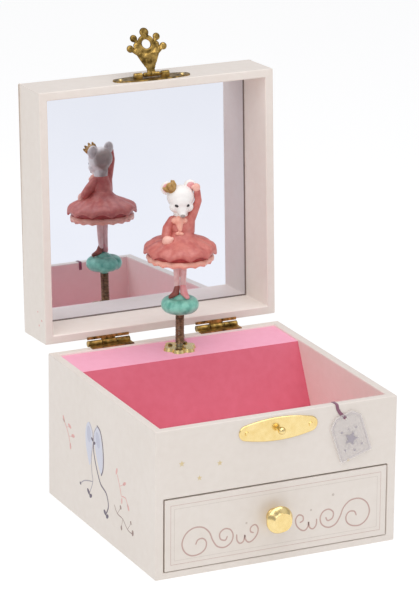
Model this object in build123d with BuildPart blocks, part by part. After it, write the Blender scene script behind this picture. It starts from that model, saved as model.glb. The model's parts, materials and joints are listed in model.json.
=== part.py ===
"""Ballerina jewellery box: a paper covered board box with a mirrored lid, a drawer and a dancer.

The dancer stands on a coil spring that a clockwork music movement turns, and folds down when
the lid closes. Millimetres, +Z up, the origin at the centre of the underside. The box is drawn
with its lid open against the stop.
"""

from math import atan2, cos, degrees, pi, radians, sin
import os

from build123d import *

# ---------------------------------------------------------------- driving dimensions
width = 115.0
depth = 115.0
base_height = 67.0
lid_depth = 24.5
lid_open_angle = 92.75
wall = 3.9
bottom_board = 3.0
divider = 2.5
lid_top = 1.5
mirror_thickness = 0.6
mirror_play = 0.4
rim_gap = 1.5
lining = 0.8

hinge_behind_back = 2.0
hinge_centres = (-27.0, 27.0)
hinge_width = 20.5
leaf_thickness = 0.5
leaf_reach = 5.6
leaf_edge = 1.75
barrel_radius = 1.4
hinge_pin_radius = 0.6
knuckle_end = 3.4
knuckle_play = 0.3
running_play = 0.05

drawer_front_top = 35.6
drawer_play = 0.6
drawer_lift = 0.4
drawer_front_thickness = 3.5
drawer_board = 2.0
drawer_bottom_board = 1.5
drawer_wall_height = 26.0
drawer_back = 20.5
knob_x = -1.6
knob_height = 20.9
knob_radius = 6.2
knob_neck_radius = 2.4
knob_length = 9.4
knob_screw_radius = 1.4

plate_half_length = 18.7
plate_end_x = 16.2
plate_end_half = 3.3
plate_middle_half = 5.25
plate_thickness = 0.6
plate_nail_x = 15.2
nail_radius = 1.0
nail_height = 0.5
catch_height = 60.4
catch_stem_radius = 1.0
catch_ball_radius = 1.7
catch_ball_out = 3.4
hasp_pivot_height = 75.2
hasp_rest_angle = 112.5
hasp_thickness = 0.8
hasp_barrel_radius = 1.2
hasp_pin_radius = 0.5
hasp_knuckle = 4.6
hasp_ear_end = 8.4
hasp_hole_radius = 2.1

ribbon_thickness = 0.3
ribbon_width = 1.6
ribbon_x = 28.0
ribbon_drop = 2.6
tag_hang_x, tag_hang_z = 31.5, 61.0
tag_lean = 18.0
tag_half_width, tag_height, tag_clip = 7.75, 21.0, 3.6
tag_thickness = 0.5

shelf_top = 66.0
shelf_front = 29.5
slope_foot = 15.5
slope_run = 2.25
bay_wall_front = 22.0

spindle_y = 41.5
spindle_radius = 1.5
spindle_tip_radius = 1.35
flange_radius = 7.8
flange_thickness = 1.5
spring_outer = 2.0
spring_inner = 1.45
spring_bottom, spring_top = 68.4, 84.8
pedestal_bottom, pedestal_top = 82.8, 91.2
pedestal_radius = 8.5
pedestal_socket = 2.1

gear_module = 0.5
cylinder_x, cylinder_y = -11.66, 37.0
cylinder_teeth, spindle_teeth, governor_teeth = 30, 20, 10
worm_wheel_teeth = 24
crown_teeth, winding_pinion_teeth = 30, 12
winding_module = 0.6
arbor_radius = 1.0
cylinder_radius = 6.5
cylinder_low, cylinder_high = 28.0, 50.0
train_low, train_high = 52.0, 54.5
winding_pinion_low, winding_pinion_high = 21.5, 26.5
tune_notes = 18
pin_height = 0.7
comb_play = 0.35
comb_thickness = 1.0
key_height = 15.0
key_arbor_radius = 1.5
bedplate_front = 51.5
worm_radius = 1.6
worm_wheel_low, worm_wheel_high = 55.5, 57.0
fan_reach = 4.5
stop_wire_radius = 0.4
stop_wire_x = 6.7

# ---------------------------------------------------------------- worked out from them
half_width, half_depth = width / 2, depth / 2
inner_x, inner_y = half_width - wall, half_depth - wall
front_y = -half_depth
floor_low = drawer_front_top + drawer_play
floor_top = floor_low + divider
hinge_y, hinge_z = half_depth + hinge_behind_back, base_height + rim_gap / 2
lid_rim = rim_gap / 2
lid_ceiling = lid_rim + lid_depth - lid_top
lid_front, lid_back = -depth - hinge_behind_back, -hinge_behind_back
along_x = (1, 0, 0)

tilt = radians(lid_open_angle)
lid_frame = Plane(origin=(0, hinge_y, hinge_z), x_dir=along_x, z_dir=(0, sin(tilt), cos(tilt)))
base_frame = Plane(origin=(0, hinge_y, hinge_z), x_dir=along_x, z_dir=(0, 0, 1))
hasp_face = Plane(
    origin=lid_frame.from_local_coords(Vector(0, lid_front, hasp_pivot_height - hinge_z)),
    x_dir=along_x,
    z_dir=lid_frame.y_dir * -1,
)


# ---------------------------------------------------------------- shapes used more than once
def front_face(height=0):
    """Plane of the box's front, facing out, with its origin at a height."""
    return Plane(origin=(0, front_y, height), x_dir=along_x, z_dir=(0, -1, 0))


def block(x, y, z, frame=Plane.XY):
    """A board between two values on each axis of a frame."""
    with BuildPart() as board:
        with BuildSketch(frame.offset(z[0])):
            with Locations(((x[0] + x[1]) / 2, (y[0] + y[1]) / 2)):
                Rectangle(x[1] - x[0], y[1] - y[0])
        extrude(amount=z[1] - z[0])
    return board


def nails(places, plane):
    """Domed nail heads standing on a plane, one separate solid at each place."""
    with BuildPart() as heads:
        with BuildSketch(plane):
            with Locations(*places):
                Circle(nail_radius)
        extrude(amount=nail_height, taper=25)
    return heads


def oval_plate():
    """Outline of the long rounded escutcheon that the catch and the hasp share."""
    with BuildSketch() as outline:
        with BuildLine():
            for side in (1, -1):
                ThreePointArc(
                    (-plate_end_x, side * plate_end_half),
                    (0, side * plate_middle_half),
                    (plate_end_x, side * plate_end_half),
                )
                ThreePointArc(
                    (side * plate_end_x, plate_end_half),
                    (side * plate_half_length, 0),
                    (side * plate_end_x, -plate_end_half),
                )
        make_face()
    return outline.sketch


def spur_gear(teeth, module, phase, fullness=0.38):
    """Outline of a spur gear about the origin, one tooth centred on the angle phase."""
    pitch = teeth * module / 2
    root, tip = pitch - module, pitch + 0.8 * module
    half = pi * module * fullness / 2
    flank = [(root - 0.3, half * 1.4), (root, half * 1.4), (pitch, half), (tip, half * 0.5)]
    tooth = flank + [(r, -side) for r, side in reversed(flank)]
    with BuildSketch() as outline:
        Circle(root)
        with PolarLocations(0, teeth, start_angle=phase):
            Polygon(*tooth, align=None)
    return outline.sketch


def meshing_phase(phase, teeth, direction, other_teeth):
    """Phase of a gear that meshes with one of the given phase, seen along a direction."""
    return direction + 180 + (direction - phase) * teeth / other_teeth + 180 / other_teeth


def hinge_leaves(frame, side, knuckles, bore):
    """Both hinges' leaves on one side of the rim gap, each with its own knuckles."""
    low = rim_gap / 2 - leaf_thickness if side > 0 else -rim_gap / 2
    with BuildPart() as leaves:
        for centre in hinge_centres:
            with BuildSketch(frame.offset(low)):
                with Locations((centre, -(leaf_reach + leaf_edge) / 2)):
                    Rectangle(hinge_width, leaf_reach - leaf_edge)
                for start, end in knuckles:
                    with Locations((centre + (start + end) / 2, -leaf_edge / 2)):
                        Rectangle(end - start, leaf_edge)
            extrude(amount=leaf_thickness)
            for start, end in knuckles:
                with BuildSketch(Plane(frame.origin, x_dir=frame.y_dir, z_dir=along_x)
                                 .offset(centre + start)):
                    Circle(barrel_radius)
                extrude(amount=end - start)
        for centre in hinge_centres:
            with BuildSketch(Plane(frame.origin, x_dir=frame.y_dir, z_dir=along_x)
                             .offset(centre - hinge_width / 2)):
                Circle(bore)
            extrude(amount=hinge_width, mode=Mode.SUBTRACT)
    return leaves


# ---------------------------------------------------------------- base: boards
base_left_wall = block((-half_width, -inner_x), (front_y, half_depth), (0, base_height))
base_right_wall = block((inner_x, half_width), (front_y, half_depth), (0, base_height))
base_front_panel = block((-inner_x, inner_x), (front_y, -inner_y), (floor_low, base_height))
base_bottom = block((-inner_x, inner_x), (front_y, inner_y), (0, bottom_board))
compartment_floor = block((-inner_x, inner_x), (-inner_y, bay_wall_front), (floor_low, floor_top))
drawer_bay_wall = block(
    (-inner_x, inner_x), (bay_wall_front, bay_wall_front + divider), (bottom_board, floor_top)
)
floor_lining = block((-inner_x, inner_x), (-inner_y, slope_foot), (floor_top, floor_top + lining))

back_face = Plane(origin=(0, half_depth, 0), x_dir=(-1, 0, 0), z_dir=(0, 1, 0))
with BuildPart() as base_back_wall:
    with BuildSketch(back_face.offset(-wall)):
        with Locations((0, base_height / 2)):
            Rectangle(2 * inner_x, base_height)
        with Locations((-cylinder_x, key_height)):
            Circle(key_arbor_radius + 0.8, mode=Mode.SUBTRACT)
    extrude(amount=wall)

with BuildPart() as mechanism_shelf:
    with BuildSketch(Plane.XY.offset(shelf_top - divider)):
        with Locations((0, (shelf_front + inner_y) / 2)):
            Rectangle(2 * inner_x, inner_y - shelf_front)
        with Locations((0, spindle_y)):
            Circle(spindle_radius + 1.5, mode=Mode.SUBTRACT)
        with Locations((stop_wire_x, inner_y - 2)):
            Circle(stop_wire_radius + 0.6, mode=Mode.SUBTRACT)
    extrude(amount=divider)

slope_drop = slope_run * (shelf_top - floor_top) / (shelf_front - slope_foot)
with BuildPart() as mechanism_slope:
    with BuildSketch(Plane.YZ.offset(-inner_x)):
        Polygon(
            (slope_foot, floor_top),
            (slope_foot + slope_run, floor_top),
            (shelf_front, shelf_top - slope_drop),
            (shelf_front, shelf_top),
            align=None,
        )
    extrude(amount=2 * inner_x)

# ---------------------------------------------------------------- lid: boards and mirror
lid_x = (-half_width, half_width)
lid_y = (lid_front, lid_back)
lid_top_panel = block(lid_x, lid_y, (lid_ceiling, lid_ceiling + lid_top), lid_frame)
lid_walls_z = (lid_rim, lid_ceiling)
lid_front_wall = block((-inner_x, inner_x), (lid_front, lid_front + wall), lid_walls_z, lid_frame)
lid_back_wall = block((-inner_x, inner_x), (lid_back - wall, lid_back), lid_walls_z, lid_frame)
lid_middle = Plane(
    lid_frame.from_local_coords(Vector(0, sum(lid_y) / 2, 0)), x_dir=along_x, z_dir=lid_frame.z_dir
)
with BuildPart() as lid_side_walls:
    with BuildSketch(lid_middle.offset(lid_rim)):
        with GridLocations(width - wall, 0, 2, 1):
            Rectangle(wall, depth)
    extrude(amount=lid_ceiling - lid_rim)
mirror = block(
    (-inner_x + mirror_play, inner_x - mirror_play),
    (lid_front + wall + mirror_play, lid_back - wall - mirror_play),
    (lid_ceiling - mirror_thickness, lid_ceiling),
    lid_frame,
)

# ---------------------------------------------------------------- hinges
outer_knuckle = knuckle_end + knuckle_play
outer_knuckles = ((-hinge_width / 2, -outer_knuckle), (outer_knuckle, hinge_width / 2))
hinge_leaves_base = hinge_leaves(base_frame, -1, outer_knuckles, hinge_pin_radius)
hinge_leaves_lid = hinge_leaves(
    lid_frame, 1, ((-knuckle_end, knuckle_end),), hinge_pin_radius + running_play
)
with BuildPart() as hinge_pins:
    for centre in hinge_centres:
        with BuildSketch(Plane(base_frame.origin, z_dir=along_x).offset(centre - hinge_width / 2)):
            Circle(hinge_pin_radius)
        extrude(amount=hinge_width)

# ---------------------------------------------------------------- catch plate and hasp
catch_plane = front_face(catch_height)
with BuildPart() as catch_plate:
    with BuildSketch(catch_plane):
        add(oval_plate())
    extrude(amount=plate_thickness)
    chamfer(catch_plate.faces().sort_by(Axis.Y)[0].edges(), 0.25)

with BuildPart() as catch_stud:
    with BuildSketch(catch_plane.offset(plate_thickness)):
        Circle(catch_stem_radius)
    extrude(amount=catch_ball_out - plate_thickness)
    with Locations(catch_plane.offset(catch_ball_out).location):
        Sphere(catch_ball_radius)

catch_nails = nails(
    [(-plate_nail_x, 0), (plate_nail_x, 0)], catch_plane.offset(plate_thickness)
)

hasp_out = plate_thickness + hasp_barrel_radius
hasp_axis = hasp_face.offset(hasp_out).origin
with BuildPart() as hasp_plate:
    with BuildSketch(hasp_face):
        add(oval_plate())
    extrude(amount=plate_thickness)
    for side in (-1, 1):
        ear_middle = side * (hasp_knuckle + 0.3 + hasp_ear_end) / 2
        ear_width = hasp_ear_end - hasp_knuckle - 0.3
        with BuildSketch(hasp_face.offset(plate_thickness)):
            with Locations((ear_middle, 0)):
                Rectangle(ear_width, 2 * hasp_barrel_radius)
        extrude(amount=hasp_barrel_radius)
        with BuildSketch(Plane(hasp_axis, z_dir=along_x).offset(ear_middle - ear_width / 2)):
            Circle(hasp_barrel_radius)
        extrude(amount=ear_width)
    with BuildSketch(Plane(hasp_axis, z_dir=along_x).offset(-hasp_ear_end)):
        Circle(hasp_pin_radius)
    extrude(amount=2 * hasp_ear_end, mode=Mode.SUBTRACT)

with BuildPart() as hasp_pin:
    with BuildSketch(Plane(hasp_axis, z_dir=along_x).offset(-hasp_ear_end)):
        Circle(hasp_pin_radius)
    extrude(amount=2 * hasp_ear_end)

hasp_nails = nails([(-plate_nail_x, 0), (plate_nail_x, 0)], hasp_face.offset(plate_thickness))

lean = radians(hasp_rest_angle)
hasp_up = lid_frame.y_dir * -sin(lean) + lid_frame.z_dir * -cos(lean)
hasp_plane = Plane(hasp_axis, x_dir=along_x, z_dir=Vector(1, 0, 0).cross(hasp_up))
hasp_lobes = ((8.0, 12.4, 1.9), (5.4, 16.6, 2.2), (0, 19.2, 2.4))
with BuildPart() as hasp:
    with BuildSketch(hasp_plane.offset(-hasp_thickness / 2)):
        Polygon((-4.3, 0), (4.3, 0), (3.4, 5.0), (7.2, 11.0), (-7.2, 11.0), (-3.4, 5.0), align=None)
        with Locations((0, 13.0)):
            Circle(6.8)
        for x, y, radius in hasp_lobes:
            with Locations((x, y), (-x, y)):
                Circle(radius)
        with Locations((0, hasp_pivot_height - catch_height)):
            Circle(hasp_hole_radius, mode=Mode.SUBTRACT)
    extrude(amount=hasp_thickness)
    with BuildSketch(Plane(hasp_axis, z_dir=along_x).offset(-hasp_knuckle)):
        Circle(hasp_barrel_radius)
    extrude(amount=2 * hasp_knuckle)
    with BuildSketch(Plane(hasp_axis, z_dir=along_x).offset(-hasp_knuckle)):
        Circle(hasp_pin_radius + running_play)
    extrude(amount=2 * hasp_knuckle, mode=Mode.SUBTRACT)

# ---------------------------------------------------------------- ribbon and gift tag
with BuildPart() as tag_ribbon:
    with BuildSketch(Plane.YZ.offset(ribbon_x - ribbon_width / 2)):
        Polygon(
            (front_y - ribbon_thickness, base_height + ribbon_thickness),
            (-inner_y + ribbon_thickness, base_height + ribbon_thickness),
            (-inner_y + ribbon_thickness, base_height - 4),
            (-inner_y, base_height - 4),
            (-inner_y, base_height),
            (front_y, base_height),
            (front_y, base_height - ribbon_drop),
            (front_y - ribbon_thickness, base_height - ribbon_drop),
            align=None,
        )
    extrude(amount=ribbon_width)
    with BuildSketch(front_face()):
        Polygon(
            (ribbon_x - ribbon_width / 2, base_height - ribbon_drop),
            (ribbon_x + ribbon_width / 2, base_height - ribbon_drop),
            (tag_hang_x + ribbon_width / 2, tag_hang_z + 0.3),
            (tag_hang_x - ribbon_width / 2, tag_hang_z + 0.3),
            align=None,
        )
    extrude(amount=ribbon_thickness)

tag_plane = Plane(
    origin=(tag_hang_x, front_y - ribbon_thickness - 0.3, tag_hang_z),
    x_dir=(cos(radians(tag_lean)), 0, sin(radians(tag_lean))),
    z_dir=(0, -1, 0),
)
with BuildPart() as tag:
    with BuildSketch(tag_plane):
        with Locations((0, 1.5 - tag_height / 2)):
            tag_outline = Rectangle(2 * tag_half_width, tag_height)
        chamfer(tag_outline.vertices().group_by(Axis.Y)[-1], tag_clip)
        Circle(0.9, mode=Mode.SUBTRACT)
    extrude(amount=tag_thickness)

# ---------------------------------------------------------------- drawer
drawer_x = inner_x - drawer_play
drawer_low = bottom_board + drawer_lift
drawer_side_x = drawer_x - 0.4
drawer_front_back = front_y + drawer_front_thickness
tray_y = (drawer_front_back, drawer_back)
knob_plane = Plane(origin=(knob_x, front_y, knob_height), x_dir=along_x, z_dir=(0, -1, 0))
with BuildPart() as drawer_front:
    with BuildSketch(front_face().offset(-drawer_front_thickness)):
        with Locations((0, (drawer_low + drawer_front_top) / 2)):
            Rectangle(2 * drawer_x, drawer_front_top - drawer_low)
        with Locations((knob_x, knob_height)):
            Circle(knob_screw_radius, mode=Mode.SUBTRACT)
    extrude(amount=drawer_front_thickness)

with BuildPart() as drawer_sides:
    for side in (-1, 1):
        with BuildSketch(Plane.XY.offset(drawer_low)):
            with Locations((side * (drawer_side_x - drawer_board / 2), sum(tray_y) / 2)):
                Rectangle(drawer_board, tray_y[1] - tray_y[0])
        extrude(amount=drawer_wall_height)

tray_x = drawer_side_x - drawer_board
tray_bottom = drawer_low + drawer_bottom_board
drawer_back_board = block(
    (-tray_x, tray_x),
    (drawer_back - drawer_board, drawer_back),
    (drawer_low, drawer_low + drawer_wall_height),
)
tray_inner_y = (drawer_front_back, drawer_back - drawer_board)
drawer_bottom = block((-tray_x, tray_x), tray_inner_y, (drawer_low, tray_bottom))
drawer_lining = block((-tray_x, tray_x), tray_inner_y, (tray_bottom, tray_bottom + lining))

with BuildPart() as drawer_knob:
    with BuildSketch(Plane.XZ):
        with BuildLine():
            Polyline((0, 0), (knob_neck_radius + 1.2, 0), (knob_neck_radius + 1.2, 0.8))
            Spline(
                (knob_neck_radius + 1.2, 0.8),
                (knob_neck_radius, 2.0),
                (knob_radius, 5.6),
                (3.4, 8.8),
                (0, knob_length),
                tangents=((-0.4, 1), (-1, 0)),
            )
            Line((0, knob_length), (0, 0))
        make_face()
    revolve(axis=Axis.Z)
    with BuildSketch(Plane.XY):
        Circle(knob_screw_radius)
    extrude(amount=5, mode=Mode.SUBTRACT)
drawer_knob.part = knob_plane.location * drawer_knob.part

with BuildPart() as knob_screw:
    with BuildSketch(knob_plane.offset(-drawer_front_thickness)):
        Circle(knob_screw_radius)
    extrude(amount=drawer_front_thickness + 5)
    with BuildSketch(knob_plane.offset(-drawer_front_thickness)):
        Circle(2 * knob_screw_radius)
    extrude(amount=-1.2)

# ---------------------------------------------------------------- spindle, spring and dancer
spindle_base = Plane(origin=(0, spindle_y, 0))
with BuildPart() as spindle_flange:
    with BuildSketch(spindle_base.offset(shelf_top)):
        Circle(flange_radius * 0.8)
        with PolarLocations(flange_radius * 0.62, 6):
            Circle(flange_radius * 0.38)
        Circle(spindle_radius + running_play, mode=Mode.SUBTRACT)
    extrude(amount=flange_thickness, taper=20)

with BuildPart() as flange_screws:
    with BuildSketch(spindle_base.offset(shelf_top + flange_thickness)):
        with PolarLocations(flange_radius * 0.55, 3, start_angle=30):
            Circle(1.1)
    extrude(amount=0.6, taper=20)

direction_to_spindle = degrees(atan2(spindle_y - cylinder_y, -cylinder_x))
spindle_phase = meshing_phase(
    direction_to_spindle, cylinder_teeth, direction_to_spindle, spindle_teeth
)
with BuildPart() as spindle:
    with BuildSketch(spindle_base.offset(48)):
        Circle(spindle_radius)
    extrude(amount=spring_bottom - 0.2 - 48)
    with BuildSketch(spindle_base.offset(spring_bottom - 0.2)):
        Circle(spindle_tip_radius)
    extrude(amount=4)
    with BuildSketch(spindle_base.offset(train_low)):
        add(spur_gear(spindle_teeth, gear_module, spindle_phase))
    extrude(amount=train_high - train_low)

with BuildPart() as dancer_spring:
    with BuildSketch(spindle_base.offset(spring_bottom)):
        Circle(spring_outer)
        Circle(spring_inner, mode=Mode.SUBTRACT)
    extrude(amount=spring_top - spring_bottom)

with BuildPart() as dancer_pedestal:
    with BuildSketch(spindle_base.offset(pedestal_bottom)):
        Circle(pedestal_radius)
    extrude(amount=pedestal_top - pedestal_bottom)
    fillet(dancer_pedestal.edges(), 3.2)
    with BuildSketch(spindle_base.offset(pedestal_bottom)):
        Circle(pedestal_socket)
    extrude(amount=spring_top + 0.3 - pedestal_bottom, mode=Mode.SUBTRACT)

facing = -20.0
dancer_plane = spindle_base.rotated((0, 0, facing))
shoe_top, hem_low, hem_high, waist, neck = 95.2, 107.0, 112.0, 120.8, 126.5
with BuildPart() as dancer_slippers:
    with BuildSketch(dancer_plane.offset(pedestal_top)):
        with Locations((-2.3, -0.8), (2.3, -0.8)):
            Ellipse(2.0, 3.4)
    extrude(amount=shoe_top - pedestal_top, taper=12)

with BuildPart() as dancer_legs:
    with BuildSketch(dancer_plane.offset(shoe_top)):
        with Locations((-2.2, 0), (2.2, 0)):
            Circle(1.3)
    extrude(amount=hem_low - shoe_top, taper=-3)

with BuildPart() as dancer_underskirt:
    with BuildSketch(Plane.XZ.offset(-spindle_y)):
        Polygon((0, hem_low), (14.8, hem_low), (15.0, hem_low + 1.2), (12.5, hem_high),
                (0, hem_high), align=None)
    revolve(axis=Axis((0, spindle_y, 0), (0, 0, 1)))

with BuildPart() as dancer_overskirt:
    with BuildSketch(Plane.XZ.offset(-spindle_y)):
        Polygon((0, hem_high), (16.0, hem_high), (16.3, hem_high + 1.0), (10.0, hem_high + 5.5),
                (4.2, waist), (0, waist), align=None)
    revolve(axis=Axis((0, spindle_y, 0), (0, 0, 1)))

with BuildPart() as dancer_bodice:
    with BuildSketch(Plane.XZ.offset(-spindle_y)):
        Polygon((0, waist), (4.2, waist), (5.6, waist + 3.4), (3.4, neck), (0, neck), align=None)
    revolve(axis=Axis((0, spindle_y, 0), (0, 0, 1)))

with BuildPart() as dancer_head:
    with BuildSketch(Plane.XZ.offset(-spindle_y)):
        with BuildLine():
            Polyline((0, 143.0), (0, neck), (2.4, neck))
            Spline((2.4, neck), (5.4, 134.4), (0, 143.0), tangents=((1, 0.4), (-1, 0)))
        make_face()
    revolve(axis=Axis((0, spindle_y, 0), (0, 0, 1)))

with BuildPart() as dancer_arms:
    shoulder = dancer_plane.offset(122.6)
    with BuildSketch(Plane(shoulder.from_local_coords(Vector(7.2, 0, 0)), z_dir=(0, 0, 1))):
        Circle(1.3)
    extrude(amount=14.4)
    with BuildSketch(Plane(shoulder.from_local_coords(Vector(-7.3, -3.5, 0)), z_dir=(0, 0, 1))):
        Circle(1.4)
    extrude(amount=-2.8)

# ---------------------------------------------------------------- music movement
with BuildPart() as movement_bedplate:
    with BuildSketch(Plane(origin=(0, inner_y, 0), x_dir=(-1, 0, 0), z_dir=(0, 1, 0))):
        with Locations((13.0, 34.0)):
            Rectangle(52, 48)
        with Locations((-cylinder_x, key_height)):
            Circle(key_arbor_radius + running_play, mode=Mode.SUBTRACT)
    extrude(amount=bedplate_front - inner_y)

bracket_half = 2.6
with BuildPart() as movement_bracket:
    for low in (winding_pinion_high + 0.3, train_high + 3.5):
        with BuildSketch(Plane.XY.offset(low)):
            with Locations((cylinder_x, (cylinder_y - bracket_half + bedplate_front) / 2)):
                Rectangle(2 * bracket_half, bedplate_front - cylinder_y + bracket_half)
            with Locations((cylinder_x, cylinder_y)):
                Circle(arbor_radius + running_play, mode=Mode.SUBTRACT)
        extrude(amount=0.9)
    with BuildSketch(Plane.XY.offset(48.0)):
        with Locations((0, (spindle_y - bracket_half + bedplate_front) / 2)):
            Rectangle(2 * bracket_half, bedplate_front - spindle_y + bracket_half)
    extrude(amount=-2)

pin_tip = cylinder_radius + pin_height
comb_tip = cylinder_x - pin_tip - comb_play
comb_pitch = (cylinder_high - cylinder_low) / tune_notes
comb_block_x = (-44.0, -33.0)
comb_y = (cylinder_y - comb_thickness / 2, cylinder_y + comb_thickness / 2)
comb_screw_z = (cylinder_low + 3.5, (cylinder_low + cylinder_high) / 2, cylinder_high - 3.5)
comb_plane = Plane(origin=(0, comb_y[1], 0), x_dir=along_x, z_dir=(0, -1, 0))
with BuildPart() as music_comb:
    with BuildSketch(comb_plane):
        comb_middle = (cylinder_low + cylinder_high) / 2
        with Locations(((comb_block_x[0] + comb_block_x[1]) / 2, comb_middle)):
            Rectangle(comb_block_x[1] - comb_block_x[0], cylinder_high - cylinder_low)
        for note in range(tune_notes):
            tooth_z = cylinder_low + (note + 0.5) * comb_pitch
            with Locations(((comb_block_x[1] + comb_tip) / 2, tooth_z)):
                Rectangle(comb_tip - comb_block_x[1], comb_pitch * 0.72)
        for height in comb_screw_z:
            with Locations((sum(comb_block_x) / 2, height)):
                Circle(1.1, mode=Mode.SUBTRACT)
    extrude(amount=comb_thickness)

comb_block = block(comb_block_x, (comb_y[1], bedplate_front), (cylinder_low, cylinder_high))

with BuildPart() as comb_screws:
    with BuildSketch(comb_plane):
        with Locations(*[(sum(comb_block_x) / 2, height) for height in comb_screw_z]):
            Circle(1.1)
    extrude(amount=comb_thickness)
    with BuildSketch(comb_plane.offset(comb_thickness)):
        with Locations(*[(sum(comb_block_x) / 2, height) for height in comb_screw_z]):
            Circle(1.9)
    extrude(amount=1.0)

# The tune's pins: each note's pins stand at their own angles round the cylinder.
winding_phase = 90.0
with BuildPart() as music_cylinder:
    with BuildSketch(Plane(origin=(cylinder_x, cylinder_y, cylinder_low))):
        Circle(cylinder_radius)
    extrude(amount=cylinder_high - cylinder_low)
    with BuildSketch(Plane(origin=(cylinder_x, cylinder_y, winding_pinion_low))):
        Circle(arbor_radius)
    extrude(amount=59.0 - winding_pinion_low)
    with BuildSketch(Plane(origin=(cylinder_x, cylinder_y, train_low))):
        add(spur_gear(cylinder_teeth, gear_module, direction_to_spindle))
    extrude(amount=train_high - train_low)
    with BuildSketch(Plane(origin=(cylinder_x, cylinder_y, winding_pinion_low))):
        add(spur_gear(winding_pinion_teeth, winding_module, winding_phase))
    extrude(amount=winding_pinion_high - winding_pinion_low)
    for note in range(tune_notes):
        for beat in range(3):
            angle = radians(note * 137.5 + beat * 120)
            out = Vector(cos(angle), sin(angle), 0)
            height = cylinder_low + (note + 0.5) * comb_pitch
            foot = Vector(cylinder_x, cylinder_y, height) + out * (cylinder_radius - 0.3)
            with BuildSketch(Plane(origin=foot, z_dir=out)):
                Circle(0.2)
            extrude(amount=pin_height + 0.3)

# ---------------------------------------------------------------- spring barrel and winding
crown_radius = crown_teeth * winding_module / 2
barrel_plane = Plane(origin=(cylinder_x, bedplate_front, key_height), z_dir=(0, -1, 0))
with BuildPart() as spring_barrel:
    with BuildSketch(barrel_plane):
        Circle(11.0)
        Circle(key_arbor_radius + 0.6, mode=Mode.SUBTRACT)
    extrude(amount=6.0)
    with BuildSketch(barrel_plane.offset(0.8)):
        Circle(10.2)
    extrude(amount=4.4, mode=Mode.SUBTRACT)

with BuildPart() as mainspring:
    with BuildSketch(barrel_plane.offset(1.2)):
        for turn in range(6):
            Circle(9.8 - turn * 1.2)
            Circle(9.2 - turn * 1.2, mode=Mode.SUBTRACT)
        with Locations((6.0, 0)):
            Rectangle(7.0, 0.5)
    extrude(amount=3.4)

crown_face = cylinder_y + winding_pinion_teeth * winding_module / 2 + 0.9
with BuildPart() as winding_wheel:
    with BuildSketch(Plane(origin=(cylinder_x, crown_face + 1.5, key_height), z_dir=(0, -1, 0))):
        Circle(crown_radius + 1.0)
    extrude(amount=1.5)
    crown_plane = Plane((cylinder_x, crown_face, key_height), x_dir=along_x, z_dir=(0, -1, 0))
    with BuildSketch(crown_plane):
        with PolarLocations(crown_radius, crown_teeth, start_angle=90 + 180 / crown_teeth):
            Rectangle(2.0, 0.75)
    extrude(amount=1.2, taper=8)
    with BuildSketch(Plane(origin=(cylinder_x, crown_face, key_height), z_dir=(0, 1, 0))):
        Circle(key_arbor_radius)
    extrude(amount=66.0 - crown_face)

with BuildPart() as winding_key:
    with BuildSketch(Plane(origin=(cylinder_x, half_depth + 1.2, key_height), z_dir=(0, 1, 0))):
        Circle(3.2)
        Circle(key_arbor_radius, mode=Mode.SUBTRACT)
    extrude(amount=66.0 - half_depth - 1.2)
    with BuildSketch(Plane(origin=(cylinder_x, half_depth + 8.5, key_height), z_dir=(0, 1, 0))):
        Circle(3.2)
    extrude(amount=2.0)
    with BuildSketch(Plane(origin=(cylinder_x, 0, key_height), x_dir=along_x, z_dir=(0, 0, 1))):
        with Locations((-5.6, half_depth + 10.6), (5.6, half_depth + 10.6)):
            Ellipse(5.0, 5.6)
        with Locations((-6.0, half_depth + 10.8), (6.0, half_depth + 10.8)):
            Circle(2.2, mode=Mode.SUBTRACT)
        with Locations((0, half_depth + 9.5)):
            Rectangle(5.0, 2.0)
    extrude(amount=0.8, both=True)
    with BuildSketch(Plane(origin=(cylinder_x, half_depth + 1.2, key_height), z_dir=(0, 1, 0))):
        Circle(key_arbor_radius)
    extrude(amount=66.0 - half_depth - 1.2, mode=Mode.SUBTRACT)

# ---------------------------------------------------------------- speed governor
governor_x = cylinder_x - (cylinder_teeth + governor_teeth) * gear_module / 2
governor_phase = meshing_phase(direction_to_spindle, cylinder_teeth, 180, governor_teeth)
worm_x = governor_x - worm_wheel_teeth * gear_module / 2 - worm_radius
worm_z = (worm_wheel_low + worm_wheel_high) / 2
worm_pitch = pi * gear_module
fan_y = (43.9, 47.2)
with BuildPart() as governor_wheel:
    with BuildSketch(Plane(origin=(governor_x, cylinder_y, 51.0))):
        Circle(arbor_radius)
    extrude(amount=8.5)
    with BuildSketch(Plane(origin=(governor_x, cylinder_y, train_low))):
        add(spur_gear(governor_teeth, gear_module, governor_phase))
    extrude(amount=train_high - train_low)
    with BuildSketch(Plane(origin=(governor_x, cylinder_y, worm_wheel_low))):
        add(spur_gear(worm_wheel_teeth, gear_module, 180, fullness=0.3))
    extrude(amount=worm_wheel_high - worm_wheel_low)

with BuildPart() as governor_fan:
    with BuildSketch(Plane(origin=(worm_x, 31.4, worm_z), z_dir=(0, 1, 0))):
        Circle(0.6)
    extrude(amount=16.8)
    with BuildSketch(Plane(origin=(worm_x, 33.0, worm_z), z_dir=(0, 1, 0))):
        Circle(worm_radius - 0.5)
    extrude(amount=8.0)
    with BuildSketch(Plane(origin=(worm_x, sum(fan_y) / 2, worm_z), z_dir=(0, 0, 1))):
        Rectangle(2 * fan_reach, fan_y[1] - fan_y[0])
    extrude(amount=0.25, both=True)
    worm_start = cylinder_y - 1.75 * worm_pitch
    for turn in range(4):
        with BuildSketch(Plane(origin=(worm_x, worm_start + turn * worm_pitch, worm_z),
                               z_dir=(0, 1, 0))):
            Circle(worm_radius + 0.3)
        extrude(amount=worm_pitch * 0.3)

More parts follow.
